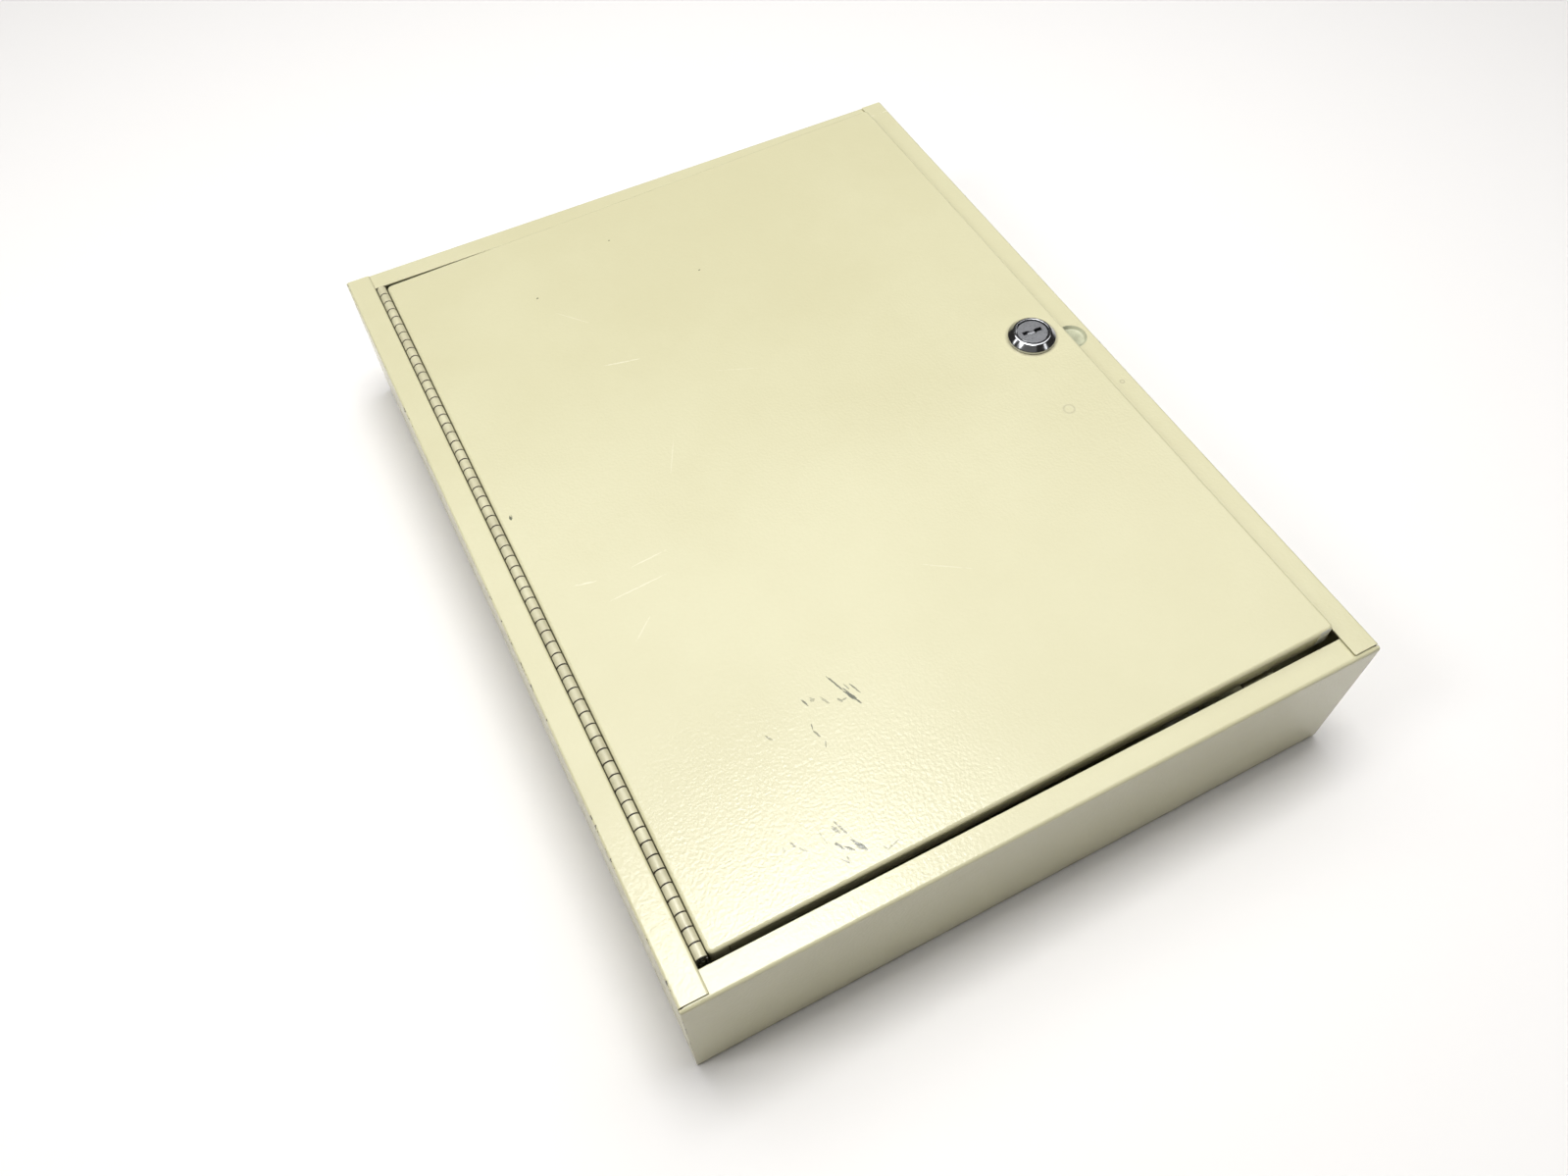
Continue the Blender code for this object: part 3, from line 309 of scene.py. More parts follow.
# %% A torn elliptical mark
scuff, scuff_in, scuff_out = open_group(
    "scuff",
    [("Vector", "Vector", None), ("Place", "Vector", (0, 0, 0)), ("Angle", "Float", 0.0),
     ("Length", "Float", 0.01), ("Breadth", "Float", 0.002), ("Grain", "Float", 800.0),
     ("Strength", "Float", 0.8)],
    [("Mask", "Float")])
mark_offset = put(scuff, "ShaderNodeVectorMath", {0: scuff_in["Vector"], 1: scuff_in["Place"]},
                  operation="SUBTRACT").outputs[0]
mark_turned = put(scuff, "ShaderNodeVectorRotate", {"Vector": mark_offset, "Angle": scuff_in["Angle"]},
                  rotation_type="Z_AXIS").outputs[0]
mark_axes = put(scuff, "ShaderNodeSeparateXYZ", {0: mark_turned}).outputs
along = calc(scuff, "DIVIDE", mark_axes[0], scuff_in["Length"])
across = calc(scuff, "DIVIDE", mark_axes[1], scuff_in["Breadth"])
squares = calc(scuff, "ADD", calc(scuff, "MULTIPLY", along, along), calc(scuff, "MULTIPLY", across, across))
fade = calc(scuff, "SUBTRACT", 1.0, squares, clamp=True)
stretched_along = calc(scuff, "MULTIPLY", mark_axes[0], 0.22)
stretched = put(scuff, "ShaderNodeCombineXYZ",
                {0: stretched_along, 1: mark_axes[1], 2: scuff_in["Angle"]}).outputs[0]
torn = noise(scuff, stretched, scuff_in["Grain"], 3.0, 0.7)
mark = ramp(scuff, calc(scuff, "ADD", torn, calc(scuff, "MULTIPLY", fade, 0.28)), 0.57, 0.66)
inside = ramp(scuff, fade, 0.0, 0.3)
scuff.links.new(calc(scuff, "MULTIPLY", calc(scuff, "MULTIPLY", mark, inside), scuff_in["Strength"]),
                scuff_out.inputs["Mask"])
print("group", scuff.name, "with", len(scuff.nodes), "nodes")

# %% [markdown]
# ## The enamel of body and door
# One sand-coloured enamel covers the whole cabinet. Body, door and hinge were sprayed together, so
# their materials share the skin group, but each has its own wear: the body along its outer
# corners, the door in a handful of scuffs.

# %% Colours of the enamel
ENAMEL_PALE = (0.590, 0.563, 0.372, 1)
ENAMEL_DEEP = (0.560, 0.530, 0.340, 1)
SLIT_AND_SHADE_DARK = (0.085, 0.075, 0.060, 1)
RUBBED = (0.80, 0.77, 0.64, 1)
BARE_STEEL = (0.16, 0.15, 0.13, 1)
GRIME_AND_SHADE = (0.36, 0.33, 0.23, 1)
SCUFF_GREY = (0.105, 0.110, 0.072, 1)
TAB_GREY = (0.42, 0.43, 0.40, 1)
PEEL_RELIEF = 0.13 * MM
PEEL_SCALE = 720.0


def finish_enamel(tree, shader, skin, colour, strength=0.8):
    """Wires the enamel's colour, sheen and relief into a material's shader."""
    tree.links.new(colour, shader.inputs["Base Color"])
    tree.links.new(skin["Roughness"], shader.inputs["Roughness"])
    sockets = {"Height": skin["Height"], "Distance": PEEL_RELIEF, "Strength": strength}
    tree.links.new(put(tree, "ShaderNodeBump", sockets).outputs[0], shader.inputs["Normal"])
    shader.inputs["Specular IOR Level"].default_value = 0.5


# %% [markdown]
# The door's marks are listed in the cabinet's own millimetres. Dark ones are rubbed-in dirt from
# something hard that slid across the door, so each is a stroke from one point to another, with its
# own breadth and strength. Several strokes side by side make one jagged scuff. Pale ones are
# scratches that don't go through the paint.

# %% Enamel of the door, with its marks
DARK_STROKES = (
    (-52.3, -117.5, -48.8, -128.0, 0.55, 0.9), (-49.6, -125.0, -45.0, -137.2, 1.0, 1.0),
    (-47.6, -124.6, -46.4, -128.6, 0.45, 0.6), (-45.4, -125.4, -43.0, -132.2, 0.45, 0.8),
    (-53.2, -129.4, -51.5, -132.5, 0.7, 0.6), (-51.9, -131.4, -48.8, -131.2, 0.5, 0.6),
    (-66.5, -122.5, -64.8, -127.4, 0.5, 0.9), (-63.9, -124.8, -61.0, -125.3, 1.3, 0.5),
    (-59.2, -125.3, -56.7, -130.6, 0.7, 0.5), (-67.5, -133.8, -68.8, -138.6, 0.45, 0.8),
    (-68.7, -137.5, -67.2, -142.0, 0.7, 0.7), (-66.2, -144.0, -67.6, -147.2, 0.4, 0.6),
    (-87.2, -130.3, -84.8, -134.2, 0.6, 0.6), (-80.3, -174.8, -76.8, -186.0, 0.6, 0.7),
    (-78.2, -184.4, -73.2, -194.0, 0.7, 0.9), (-77.1, -187.6, -74.0, -192.0, 1.2, 1.0),
    (-81.9, -177.2, -79.7, -182.0, 1.2, 0.7), (-84.1, -183.2, -81.4, -188.4, 0.8, 0.9),
    (-81.3, -186.6, -78.0, -191.0, 0.8, 0.9), (-84.8, -190.6, -81.8, -194.4, 0.6, 0.7),
    (-82.3, -190.1, -81.8, -194.4, 0.5, 0.6), (-98.9, -175.4, -97.7, -179.0, 0.7, 0.7),
    (-102.3, -175.8, -102.5, -178.2, 0.9, 0.4), (-97.0, -179.2, -94.2, -182.6, 0.7, 0.5),
    (-68.2, -192.5, -66.8, -196.2, 0.5, 0.5), (-67.2, -196.0, -60.5, -194.2, 0.5, 0.5),
    (-87.1, -176.0, -86.3, -184.8, 0.4, 0.4), (-140.3, 22.2, -139.6, 25.8, 0.9, 1.0),
    (-78.9, 150.7, -77.1, 151.4, 0.6, 0.9), (4.3, 127.7, 5.7, 128.3, 0.5, 0.9),
    (-28.7, 173.0, -27.3, 173.0, 0.5, 0.8),
)
PALE_STROKES = (
    (-67.7, 90.2, -46.3, 84.8, 0.45, 0.50), (-129.3, -24.9, -116.7, -28.1, 0.5, 0.45),
    (-121.0, -40.4, -87.0, -39.0, 0.4, 0.35), (-103.0, -28.4, -83.0, -27.2, 0.4, 0.35),
    (-116.9, -65.8, -103.1, -54.2, 0.4, 0.25), (-65.6, 9.4, -54.4, 30.6, 0.35, 0.25),
    (8.5, -87.0, 31.5, -103.0, 0.35, 0.2), (-60.0, 120.0, -74.0, 137.0, 0.35, 0.25),
    (-20.0, 60.0, 4.0, 49.0, 0.3, 0.2),
)
# A grey patch on the door's lip at its corner tab.
TAB_STROKES = ((139.0, -200.0, 146.6, -200.0, 0.8, 0.8),)
STROKE_GRAIN = 1900.0
# centre, radius and breadth of the ring below the lock and of the painted shade round the foot of the lock's
# bezel
DOOR_RINGS = (((118.7 * MM, -46.4 * MM), 2.6 * MM, 0.8 * MM), (on_lock([0, 0, 0])[:2], 12.5 * MM, 1.1 * MM))


def add_strokes(tree, place, colour, strokes, tint):
    """Lays strokes over a colour. Each is two ends in X and Y, a breadth (millimetres) and a strength."""
    for x, y, end_x, end_y, breadth, strength in strokes:
        mask = use_group(tree, scuff, {
            "Vector": place, "Place": ((x + end_x) / 2 * MM, (y + end_y) / 2 * MM, 0),
            "Angle": -math.atan2(end_y - y, end_x - x), "Length": math.hypot(end_x - x, end_y - y) / 2 * MM,
            "Breadth": breadth * MM, "Grain": STROKE_GRAIN, "Strength": strength})["Mask"]
        colour = blend_colour(tree, mask, colour, tint)
    return colour


def add_ring(tree, place, colour, centre, radius, breadth, tint, strength):
    """Lays the faint ring that a round thing leaves, or the painted shade at its foot: a band about one
    distance from a centre.
    """
    flat = put(tree, "ShaderNodeVectorMath", {0: place, 1: (1, 1, 0)}, operation="MULTIPLY").outputs[0]
    from_centre = put(tree, "ShaderNodeVectorMath", {0: flat, 1: (*centre, 0)}, operation="DISTANCE")
    off_ring = calc(tree, "ABSOLUTE", calc(tree, "SUBTRACT", from_centre.outputs["Value"], radius))
    return blend_colour(tree, ramp(tree, off_ring, breadth, 0.0, 0.0, strength), colour, tint)


door_enamel, tree, shader, place = open_material("door_enamel")
skin = use_group(tree, enamel_skin, {"Vector": place, "Pale": ENAMEL_PALE, "Deep": ENAMEL_DEEP,
                                     "Peel Scale": PEEL_SCALE, "Cloud Scale": 7.0})
colour = add_strokes(tree, place, skin["Color"], DARK_STROKES, SCUFF_GREY)
colour = add_strokes(tree, place, colour, PALE_STROKES, RUBBED)
colour = add_strokes(tree, place, colour, TAB_STROKES, TAB_GREY)
# The ring round the lock's bezel is painted shade at its foot.
for centre, radius, breadth in DOOR_RINGS:
    colour = add_ring(tree, place, colour, centre, radius, breadth, GRIME_AND_SHADE, 0.5)
finish_enamel(tree, shader, skin, colour)
print("door enamel has", len(tree.nodes), "nodes")

# %% Enamel of the body
FLANGE_RING = (156.6 * MM, -39.3 * MM)
body_enamel, tree, shader, place = open_material("body_enamel")
skin = use_group(tree, enamel_skin, {"Vector": place, "Pale": ENAMEL_PALE, "Deep": ENAMEL_DEEP,
                                     "Peel Scale": PEEL_SCALE, "Cloud Scale": 9.0})
outer_wear = use_group(tree, edge_wear, {
    "Vector": place, "Centre": (0, 0, CABINET_DEPTH / 2), "Half Size": (*CABINET_HALF, CABINET_DEPTH / 2),
    "Width": 1.6 * MM, "Amount": 0.55, "Chip Scale": 420.0})
inner_wear = use_group(tree, edge_wear, {
    "Vector": place, "Centre": (0, 0, CABINET_DEPTH / 2), "Half Size": (*OPENING_HALF, CABINET_DEPTH / 2),
    "Width": 1.0 * MM, "Amount": 0.25, "Chip Scale": 500.0})
colour = add_ring(tree, place, skin["Color"], FLANGE_RING, 1.0 * MM, 0.7 * MM, GRIME_AND_SHADE, 0.6)
colour = blend_colour(tree, outer_wear["Mask"], colour, BARE_STEEL)
colour = blend_colour(tree, inner_wear["Mask"], colour, RUBBED)
finish_enamel(tree, shader, skin, colour)

# %% [markdown]
# The slits between the hinge's knuckles are darkened. Painted shade lies in the grooves beside the
# barrel and in dots at every second slit on the frame's side. The slits repeat along the pin, so the
# distance to the nearest one is a sawtooth of Y, and the grooves lie low, so height above the body's
# front says where they are.

# %% Enamel of the hinge
HINGE_HALF = 200.0 * MM
KNUCKLES = 63
KNUCKLE_PITCH = 2 * HINGE_HALF / KNUCKLES
HINGE_PALE, HINGE_DEEP = (0.600, 0.572, 0.390, 1), (0.49, 0.460, 0.310, 1)
SLIT_REACH, SLIT_RAGGED = 0.34 * MM, 0.35 * MM
GROOVE_TOP, GROOVE_FLOOR = CABINET_DEPTH - 0.2 * MM, CABINET_DEPTH - 1.6 * MM
POCKET_REACH, POCKET_CORE = 0.8 * MM, 0.3 * MM
POCKET_INNER, POCKET_OUTER = HINGE_AXIS[0] - 1.2 * MM, HINGE_AXIS[0] - 2.0 * MM
hinge_enamel, tree, shader, place = open_material("hinge_enamel")
skin = use_group(tree, enamel_skin, {"Vector": place, "Pale": HINGE_PALE, "Deep": HINGE_DEEP,
                                     "Peel Scale": 1400.0, "Cloud Scale": 60.0})
hinge_place = put(tree, "ShaderNodeSeparateXYZ", {0: place}).outputs
steps_along = calc(tree, "DIVIDE", calc(tree, "ADD", hinge_place[1], HINGE_HALF), KNUCKLE_PITCH)
to_slit = calc(tree, "MULTIPLY", calc(tree, "PINGPONG", steps_along, 0.5), KNUCKLE_PITCH)
ragged = calc(tree, "MULTIPLY", noise(tree, place, 700.0, 2.0), SLIT_RAGGED)
slit_dark = ramp(tree, calc(tree, "SUBTRACT", to_slit, ragged), SLIT_REACH, 0.0)
# Painted shade: darker low in the grooves beside the barrel, and in dots at every second slit on the frame's
# side.
groove_shade = ramp(tree, hinge_place[2], GROOVE_TOP, GROOVE_FLOOR, 0.0, 0.85)
every_second = calc(tree, "MULTIPLY", calc(tree, "PINGPONG", steps_along, 1.0), KNUCKLE_PITCH)
pocket_shade = calc(tree, "MULTIPLY", ramp(tree, every_second, POCKET_REACH, POCKET_CORE),
              ramp(tree, hinge_place[0], POCKET_INNER, POCKET_OUTER))
dark_and_shade_share = calc(tree, "MAXIMUM", calc(tree, "MAXIMUM", slit_dark, groove_shade), pocket_shade)
colour = blend_colour(tree, dark_and_shade_share, skin["Color"], SLIT_AND_SHADE_DARK)
finish_enamel(tree, shader, skin, colour, 0.5)
print("knuckle pitch", round(KNUCKLE_PITCH / MM, 3), "mm")

# %% Enamel of the scoop, darker and greener than the body's: painted shade in the recess
SCOOP_SHADE_PALE, SCOOP_SHADE_DEEP = (0.50, 0.51, 0.36, 1), (0.36, 0.37, 0.26, 1)
scoop_shaded_enamel, tree, shader, place = open_material("scoop_shaded_enamel")
skin = use_group(tree, enamel_skin, {"Vector": place, "Pale": SCOOP_SHADE_PALE, "Deep": SCOOP_SHADE_DEEP,
                                     "Peel Scale": PEEL_SCALE, "Cloud Scale": 160.0})
finish_enamel(tree, shader, skin, skin["Color"])

# %% [markdown]
# ## Bright metals and paper
# The lock is chrome, its small fixings are zinc plate, the hook strips are lacquered steel, and
# the number strips are matt card. Metal needs few nodes, but never none: plating has faint
# clouds, and turned or rubbed parts have fine lines that stretch the highlights.

# %% Group 4: fine lines and clouds of plated metal
plated, plate_in, plate_out = open_group(
    "plated_metal",
    [("Vector", "Vector", None), ("Bright", "Color", (0.8, 0.8, 0.8, 1)),
     ("Dull", "Color", (0.5, 0.5, 0.5, 1)), ("Stretch", "Vector", (1, 1, 1)), ("Scale", "Float", 400.0),
     ("Smooth", "Float", 0.1), ("Rough", "Float", 0.3)],
    [("Color", "Color"), ("Roughness", "Float"), ("Height", "Float")])
plate_vector = put(plated, "ShaderNodeVectorMath", {0: plate_in["Vector"], 1: plate_in["Stretch"]},
                   operation="MULTIPLY").outputs[0]
plate_lines = noise(plated, plate_vector, plate_in["Scale"], 4.0, 0.6)
plate_share = ramp(plated, plate_lines, 0.35, 0.70)
plate_colour = blend_colour(plated, plate_share, plate_in["Bright"], plate_in["Dull"])
plated.links.new(plate_colour, plate_out.inputs["Color"])
rough_gap = calc(plated, "SUBTRACT", plate_in["Rough"], plate_in["Smooth"])
plate_rough = calc(plated, "MULTIPLY_ADD", plate_share, rough_gap, plate_in["Smooth"])
plated.links.new(plate_rough, plate_out.inputs["Roughness"])
plated.links.new(plate_lines, plate_out.inputs["Height"])


def metal_material(name, bright, dull, stretch, scale, smooth, rough, relief):
    """A plated metal with its own colour, lines and gloss."""
    material, tree, shader, place = open_material(name)
    out = use_group(tree, plated, {"Vector": place, "Bright": bright, "Dull": dull, "Stretch": stretch,
                                   "Scale": scale, "Smooth": smooth, "Rough": rough})
    tree.links.new(out["Color"], shader.inputs["Base Color"])
    tree.links.new(out["Roughness"], shader.inputs["Roughness"])
    sockets = {"Height": out["Height"], "Distance": relief, "Strength": 0.3}
    tree.links.new(put(tree, "ShaderNodeBump", sockets).outputs[0], shader.inputs["Normal"])
    shader.inputs["Metallic"].default_value = 1.0
    return material


lock_chrome = metal_material("lock_chrome", (0.58, 0.585, 0.60, 1), (0.48, 0.485, 0.50, 1),
                             (1, 1, 1), 120.0, 0.10, 0.18, 0.002 * MM)
plug_chrome = metal_material("plug_chrome", (0.38, 0.385, 0.40, 1), (0.28, 0.285, 0.30, 1),
                             (1, 5, 1), 900.0, 0.26, 0.42, 0.03 * MM)
zinc_plate = metal_material("zinc_plate", (0.60, 0.61, 0.62, 1), (0.42, 0.43, 0.45, 1),
                            (1, 1, 1), 350.0, 0.26, 0.42, 0.02 * MM)
hook_steel = metal_material("hook_steel", (0.62, 0.60, 0.53, 1), (0.47, 0.45, 0.38, 1),
                            (0.2, 3, 3), 500.0, 0.30, 0.45, 0.02 * MM)

# %% Card of the number strips
number_paper, tree, shader, place = open_material("number_paper")
fibres = noise(tree, place, 900.0, 4.0, 0.7)
stains = noise(tree, place, 22.0, 3.0, 0.5)
colour = blend_colour(tree, ramp(tree, fibres, 0.3, 0.7), (0.84, 0.82, 0.74, 1), (0.76, 0.73, 0.62, 1))
colour = blend_colour(tree, ramp(tree, stains, 0.5, 0.8, 0.0, 0.4), colour, (0.66, 0.58, 0.42, 1))
tree.links.new(colour, shader.inputs["Base Color"])
shader.inputs["Roughness"].default_value = 0.85
sockets = {"Height": fibres, "Distance": 0.03 * MM, "Strength": 0.4}
tree.links.new(put(tree, "ShaderNodeBump", sockets).outputs[0], shader.inputs["Normal"])

# %% Printing ink of the numbers
number_ink, tree, shader, place = open_material("number_ink")
ink_cover = ramp(tree, noise(tree, place, 2500.0, 3.0, 0.7), 0.25, 0.55)
ink_colour = blend_colour(tree, ink_cover, (0.16, 0.16, 0.17, 1), (0.025, 0.025, 0.03, 1))
tree.links.new(ink_colour, shader.inputs["Base Color"])
tree.links.new(ramp(tree, ink_cover, 0.0, 1.0, 0.8, 0.55), shader.inputs["Roughness"])

# %% Put each finish on its CAD nodes
FINISH_OF_SLOT = {
    "body_enamel": body_enamel, "door_enamel": door_enamel, "hinge_enamel": hinge_enamel,
    "hook_steel": hook_steel, "number_paper": number_paper, "lock_chrome": lock_chrome,
    "plug_chrome": plug_chrome, "zinc_plate": zinc_plate,
}
for subpart in frame["record"]["subparts"]:
    node = nodes[subpart["node"]]
    node.data.materials.clear()
    node.data.materials.append(FINISH_OF_SLOT[subpart["material_slot"]])
print(len(nodes), "CAD nodes have a finish")

# %% [markdown]
# ## Surfaces from arrays
# A folded strip, a turned ring and a knuckle are all the same idea: a section, carried along a
# line or round an axis. With numpy the whole grid of points is worked out at once, and the faces
# are index arithmetic on that grid.

# %% Helpers that make meshes
def add_mesh(name, points, faces, finish, body, replaced=(), smooth_angle=30):
    """A mesh piece from points and faces, with its finish, riding on a body and standing for CAD nodes."""
    mesh = bpy.data.meshes.new(name)
    places = np.asarray(points, float).reshape(-1, 3).tolist()
    mesh.from_pydata(places, [], [list(map(int, face)) for face in faces])
    mesh.validate()
    piece = bpy.data.objects.new(name, mesh)
    bpy.context.scene.collection.objects.link(piece)
    outward_mesh(mesh)
    mesh.shade_smooth()
    mesh.set_sharp_from_angle(angle=math.radians(smooth_angle))
    mesh.materials.append(finish)
    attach(piece, body)
    if replaced:
        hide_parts(*replaced)
    return piece


def outward_mesh(mesh):
    """Turns every face of a closed mesh outwards."""
    bm = bmesh.new()
    bm.from_mesh(mesh)
    bmesh.ops.recalc_face_normals(bm, faces=bm.faces)
    bm.to_mesh(mesh)
    bm.free()


def grid_quads(rows, columns, wrap_rows, wrap_columns):
    """Corner numbers of the quads of a grid of points, which may close on itself either way."""
    i = np.arange(rows if wrap_rows else rows - 1)[:, None]
    j = np.arange(columns if wrap_columns else columns - 1)[None, :]
    follow_i, follow_j = (i + 1) % rows, (j + 1) % columns
    corners = [i * columns + j, i * columns + follow_j, follow_i * columns + follow_j, follow_i * columns + j]
    return np.stack([np.broadcast_to(c, (i.size, j.size)) for c in corners], -1).reshape(-1, 4)


def turned_grid(profile, steps):
    """Points (radius cos t, radius sin t, height) of a profile of radius and height, over steps of t."""
    radius, height = np.asarray(profile, float).T
    angle = np.arange(steps) * math.tau / steps
    return np.stack([radius[:, None] * np.cos(angle), radius[:, None] * np.sin(angle),
                     np.broadcast_to(height[:, None], (len(radius), steps))], -1)


def rounded_profile(corners, radii, steps=5):
    """A closed outline whose corners are rounded: each arc is tangent to the two edges that meet there."""
    corners = np.asarray(corners, float)
    points = []
    for index, (corner, radius) in enumerate(zip(corners, radii)):
        before = corners[index - 1] - corner
        after = corners[(index + 1) % len(corners)] - corner
        before, after = before / np.linalg.norm(before), after / np.linalg.norm(after)
        if radius == 0:
            points.append(corner[None])
            continue
        half = math.acos(np.clip(before @ after, -1, 1)) / 2
        start, end = corner + before * radius / math.tan(half), corner + after * radius / math.tan(half)
        centre = corner + (before + after) / np.linalg.norm(before + after) * radius / math.sin(half)
        share = np.linspace(0, 1, steps + 1)[:, None]
        spokes = (start - centre) * (1 - share) + (end - centre) * share
        points.append(centre + spokes / np.linalg.norm(spokes, axis=1)[:, None] * radius)
    return np.concatenate(points)


def soften(piece, width, segments=2, angle=30):
    """Rounds a piece's edges with a Bevel modifier and keeps its flat faces flat."""
    bevel = piece.modifiers.new("soft_edges", "BEVEL")
    bevel.width, bevel.segments, bevel.limit_method = width, segments, "ANGLE"
    bevel.angle_limit = math.radians(angle)
    bevel.harden_normals = False
    normals = piece.modifiers.new("flat_faces", "WEIGHTED_NORMAL")
    normals.keep_sharp = True


# %% [markdown]
# ## The continuous hinge
# It is the finest thing on this cabinet. Each leaf is one strip of steel with teeth cut along its
# edge, and every second tooth is curled round the pin, so that the two leaves interlock like
# fingers. Paint has softened the curls and collected in the slits. A row of tubes would look right from
# far off, but a real curl has a seam where the sheet comes back to itself, so each knuckle here is
# the true section of bent sheet, drawn out over its own stretch of the pin.

# %% The hinge's two leaves
KNUCKLE_SLIT = 0.3 * MM
BARREL = 2.4 * MM
LEAF_SHEET = 1.0 * MM
LEAF_TOP, LEAF_FOOT = -2.5 * MM, -8.8 * MM
CURL_STEPS = 22
CURL_END = math.radians(288)


def curl_section():
    """Outer arc of the curl from 0 to 288 degrees, then its inner arc back: (radius cos t, radius sin t)."""
    angle = np.linspace(0, CURL_END, CURL_STEPS + 1)
    outer = BARREL * np.stack([np.cos(angle), np.sin(angle)], -1)
    inner = (BARREL - LEAF_SHEET) * np.stack([np.cos(angle[::-1]), np.sin(angle[::-1])], -1)
    return np.concatenate([outer, inner])


def hinge_leaf(side, first):
    """A leaf as one closed mesh: rows of four corners along the pin, and a curl on every second stretch."""
    curl = curl_section()
    curled = np.arange(KNUCKLES) % 2 == first
    borders = np.linspace(-HINGE_HALF, HINGE_HALF, KNUCKLES + 1)
    shift = np.where(curled, 0.5, -0.5) * KNUCKLE_SLIT
    borders[:-1] += shift
    borders[-1] -= 0.5 * KNUCKLE_SLIT
    borders[0] = -HINGE_HALF + 0.5 * KNUCKLE_SLIT
    corners = np.array([[BARREL, LEAF_TOP], [BARREL - LEAF_SHEET, LEAF_TOP],
                        [BARREL, LEAF_FOOT], [BARREL - LEAF_SHEET, LEAF_FOOT]])
    rows = np.empty((KNUCKLES + 1, 4, 3))
    rows[..., 0], rows[..., 1], rows[..., 2] = corners[:, 0], borders[:, None], corners[:, 1]
    first_row = np.arange(KNUCKLES) * 4
    faces = [np.stack([first_row + a, first_row + b, first_row + 4 + b, first_row + 4 + a], -1)
             for a, b in ((0, 2), (1, 3), (2, 3))]
    bare = first_row[~curled]
    faces.append(np.stack([bare, bare + 1, bare + 5, bare + 4], -1))
    faces = [list(face) for group in faces for face in group]
    faces += [[0, 1, 3, 2], [KNUCKLES * 4 + index for index in (0, 1, 3, 2)]]
    points = [rows.reshape(-1, 3)]
    count = len(points[0])
    for index in np.flatnonzero(curled):
        ends = []
        for border in (index, index + 1):
            ring = np.empty((len(curl), 3))
            ring[:, 0], ring[:, 1], ring[:, 2] = curl[:, 0], borders[border], curl[:, 1]
            points.append(ring)
            ends.append([border * 4, *range(count, count + len(curl)), border * 4 + 1])
            count += len(curl)
        low, high = np.array(ends[0]), np.array(ends[1])
        faces += [list(face) for face in np.stack([low[:-1], low[1:], high[1:], high[:-1]], -1)]
        faces += [ends[0], ends[1]]
    points = np.concatenate(points)
    points[:, 0] *= side
    return points, faces


points, faces = hinge_leaf(-1, 0)
frame_leaf = add_mesh("frame_hinge_leaf", points + HINGE_AXIS, faces, hinge_enamel, "cabinet",
                      ("hinge_frame_leaf",), smooth_angle=50)
points, faces = hinge_leaf(1, 1)
door_leaf = add_mesh("door_hinge_leaf", on_door(points), faces, hinge_enamel, "door",
                     ("hinge_door_leaf",), smooth_angle=50)
for leaf in (frame_leaf, door_leaf):
    soften(leaf, 0.14 * MM, 2, 50)
print("hinge faces", len(frame_leaf.data.polygons), len(door_leaf.data.polygons))

# %% [markdown]
# ## The cam lock
# The lock's bezel is a die-cast ring, chromed, whose flank falls away like a cone from a narrow
# round crest. Its plug sits almost flush inside, with a dark gap round it. Both are turned shapes,
# except for the keyway and the tail. A coarse cylinder would show corners in the chrome, so the
# ring is spun in 96 steps.

# %% The chrome housing
LOCK_STEPS = 96
BEZEL_RADIUS, BEZEL_SKIRT, BEZEL_TOP = 12.0 * MM, 1.5 * MM, 4.2 * MM
CREST_RADIUS = 9.3 * MM
BEZEL_ARCS = np.array([0, 0, 0, 0.2, 1.0, 1.3, 0.3, 0, 0]) * MM
ARC_STEPS = 8
RECESS_RADIUS, RECESS_FLOOR = 8.25 * MM, 1.4 * MM
BARREL_RADIUS, BORE_RADIUS, HOUSING_END = 9.4 * MM, 6.8 * MM, -13.0 * MM
SEAT = 0.3 * MM


def bezel_profile():
    """Bore, barrel, skirt, a flank that leans like a cone, its crest and the recess, round at the corners."""
    corners = [(BORE_RADIUS, HOUSING_END), (BARREL_RADIUS, HOUSING_END), (BARREL_RADIUS, SEAT),
               (BEZEL_RADIUS, SEAT), (BEZEL_RADIUS, BEZEL_SKIRT), (CREST_RADIUS, BEZEL_TOP),
               (RECESS_RADIUS, BEZEL_TOP), (RECESS_RADIUS, RECESS_FLOOR), (BORE_RADIUS, RECESS_FLOOR)]
    return rounded_profile(corners, BEZEL_ARCS, ARC_STEPS)


profile = bezel_profile()
grid = turned_grid(profile, LOCK_STEPS)
add_mesh("chrome_housing", on_lock(grid), grid_quads(*grid.shape[:2], True, True), lock_chrome, "door",
         ("lock_housing",), smooth_angle=40)
print("housing profile has", len(profile), "points")

# %% [markdown]
# The plug's face has a hole in it, the keyway, so it can't be one grid. It is built from patches
# instead: flat faces with holes, which tessellate_polygon fills, and walls between two outlines of
# the same number of points. Patches are made apart and welded at the end.

# %% Patches that weld into one solid
WELD = 0.002 * MM


def flat_patch(outlines, height):
    """A flat face at one height: the first outline is its edge, the others are holes in it."""
    points = np.concatenate(outlines)
    rings = [[Vector((x, y, 0)) for x, y in outline] for outline in outlines]
    heights = np.full((len(points), 1), height)
    return np.hstack([points, heights]), tessellate_polygon(rings)


def wall_patch(first, low, second, high):
    """A wall from an outline at one height to one of as many points at another."""
    count = len(first)
    first = np.hstack([first, np.full((count, 1), low)])
    second = np.hstack([second, np.full((count, 1), high)])
    index = np.arange(count)
    follow = (index + 1) % count
    return np.vstack([first, second]), np.stack([index, follow, follow + count, index + count], -1).tolist()


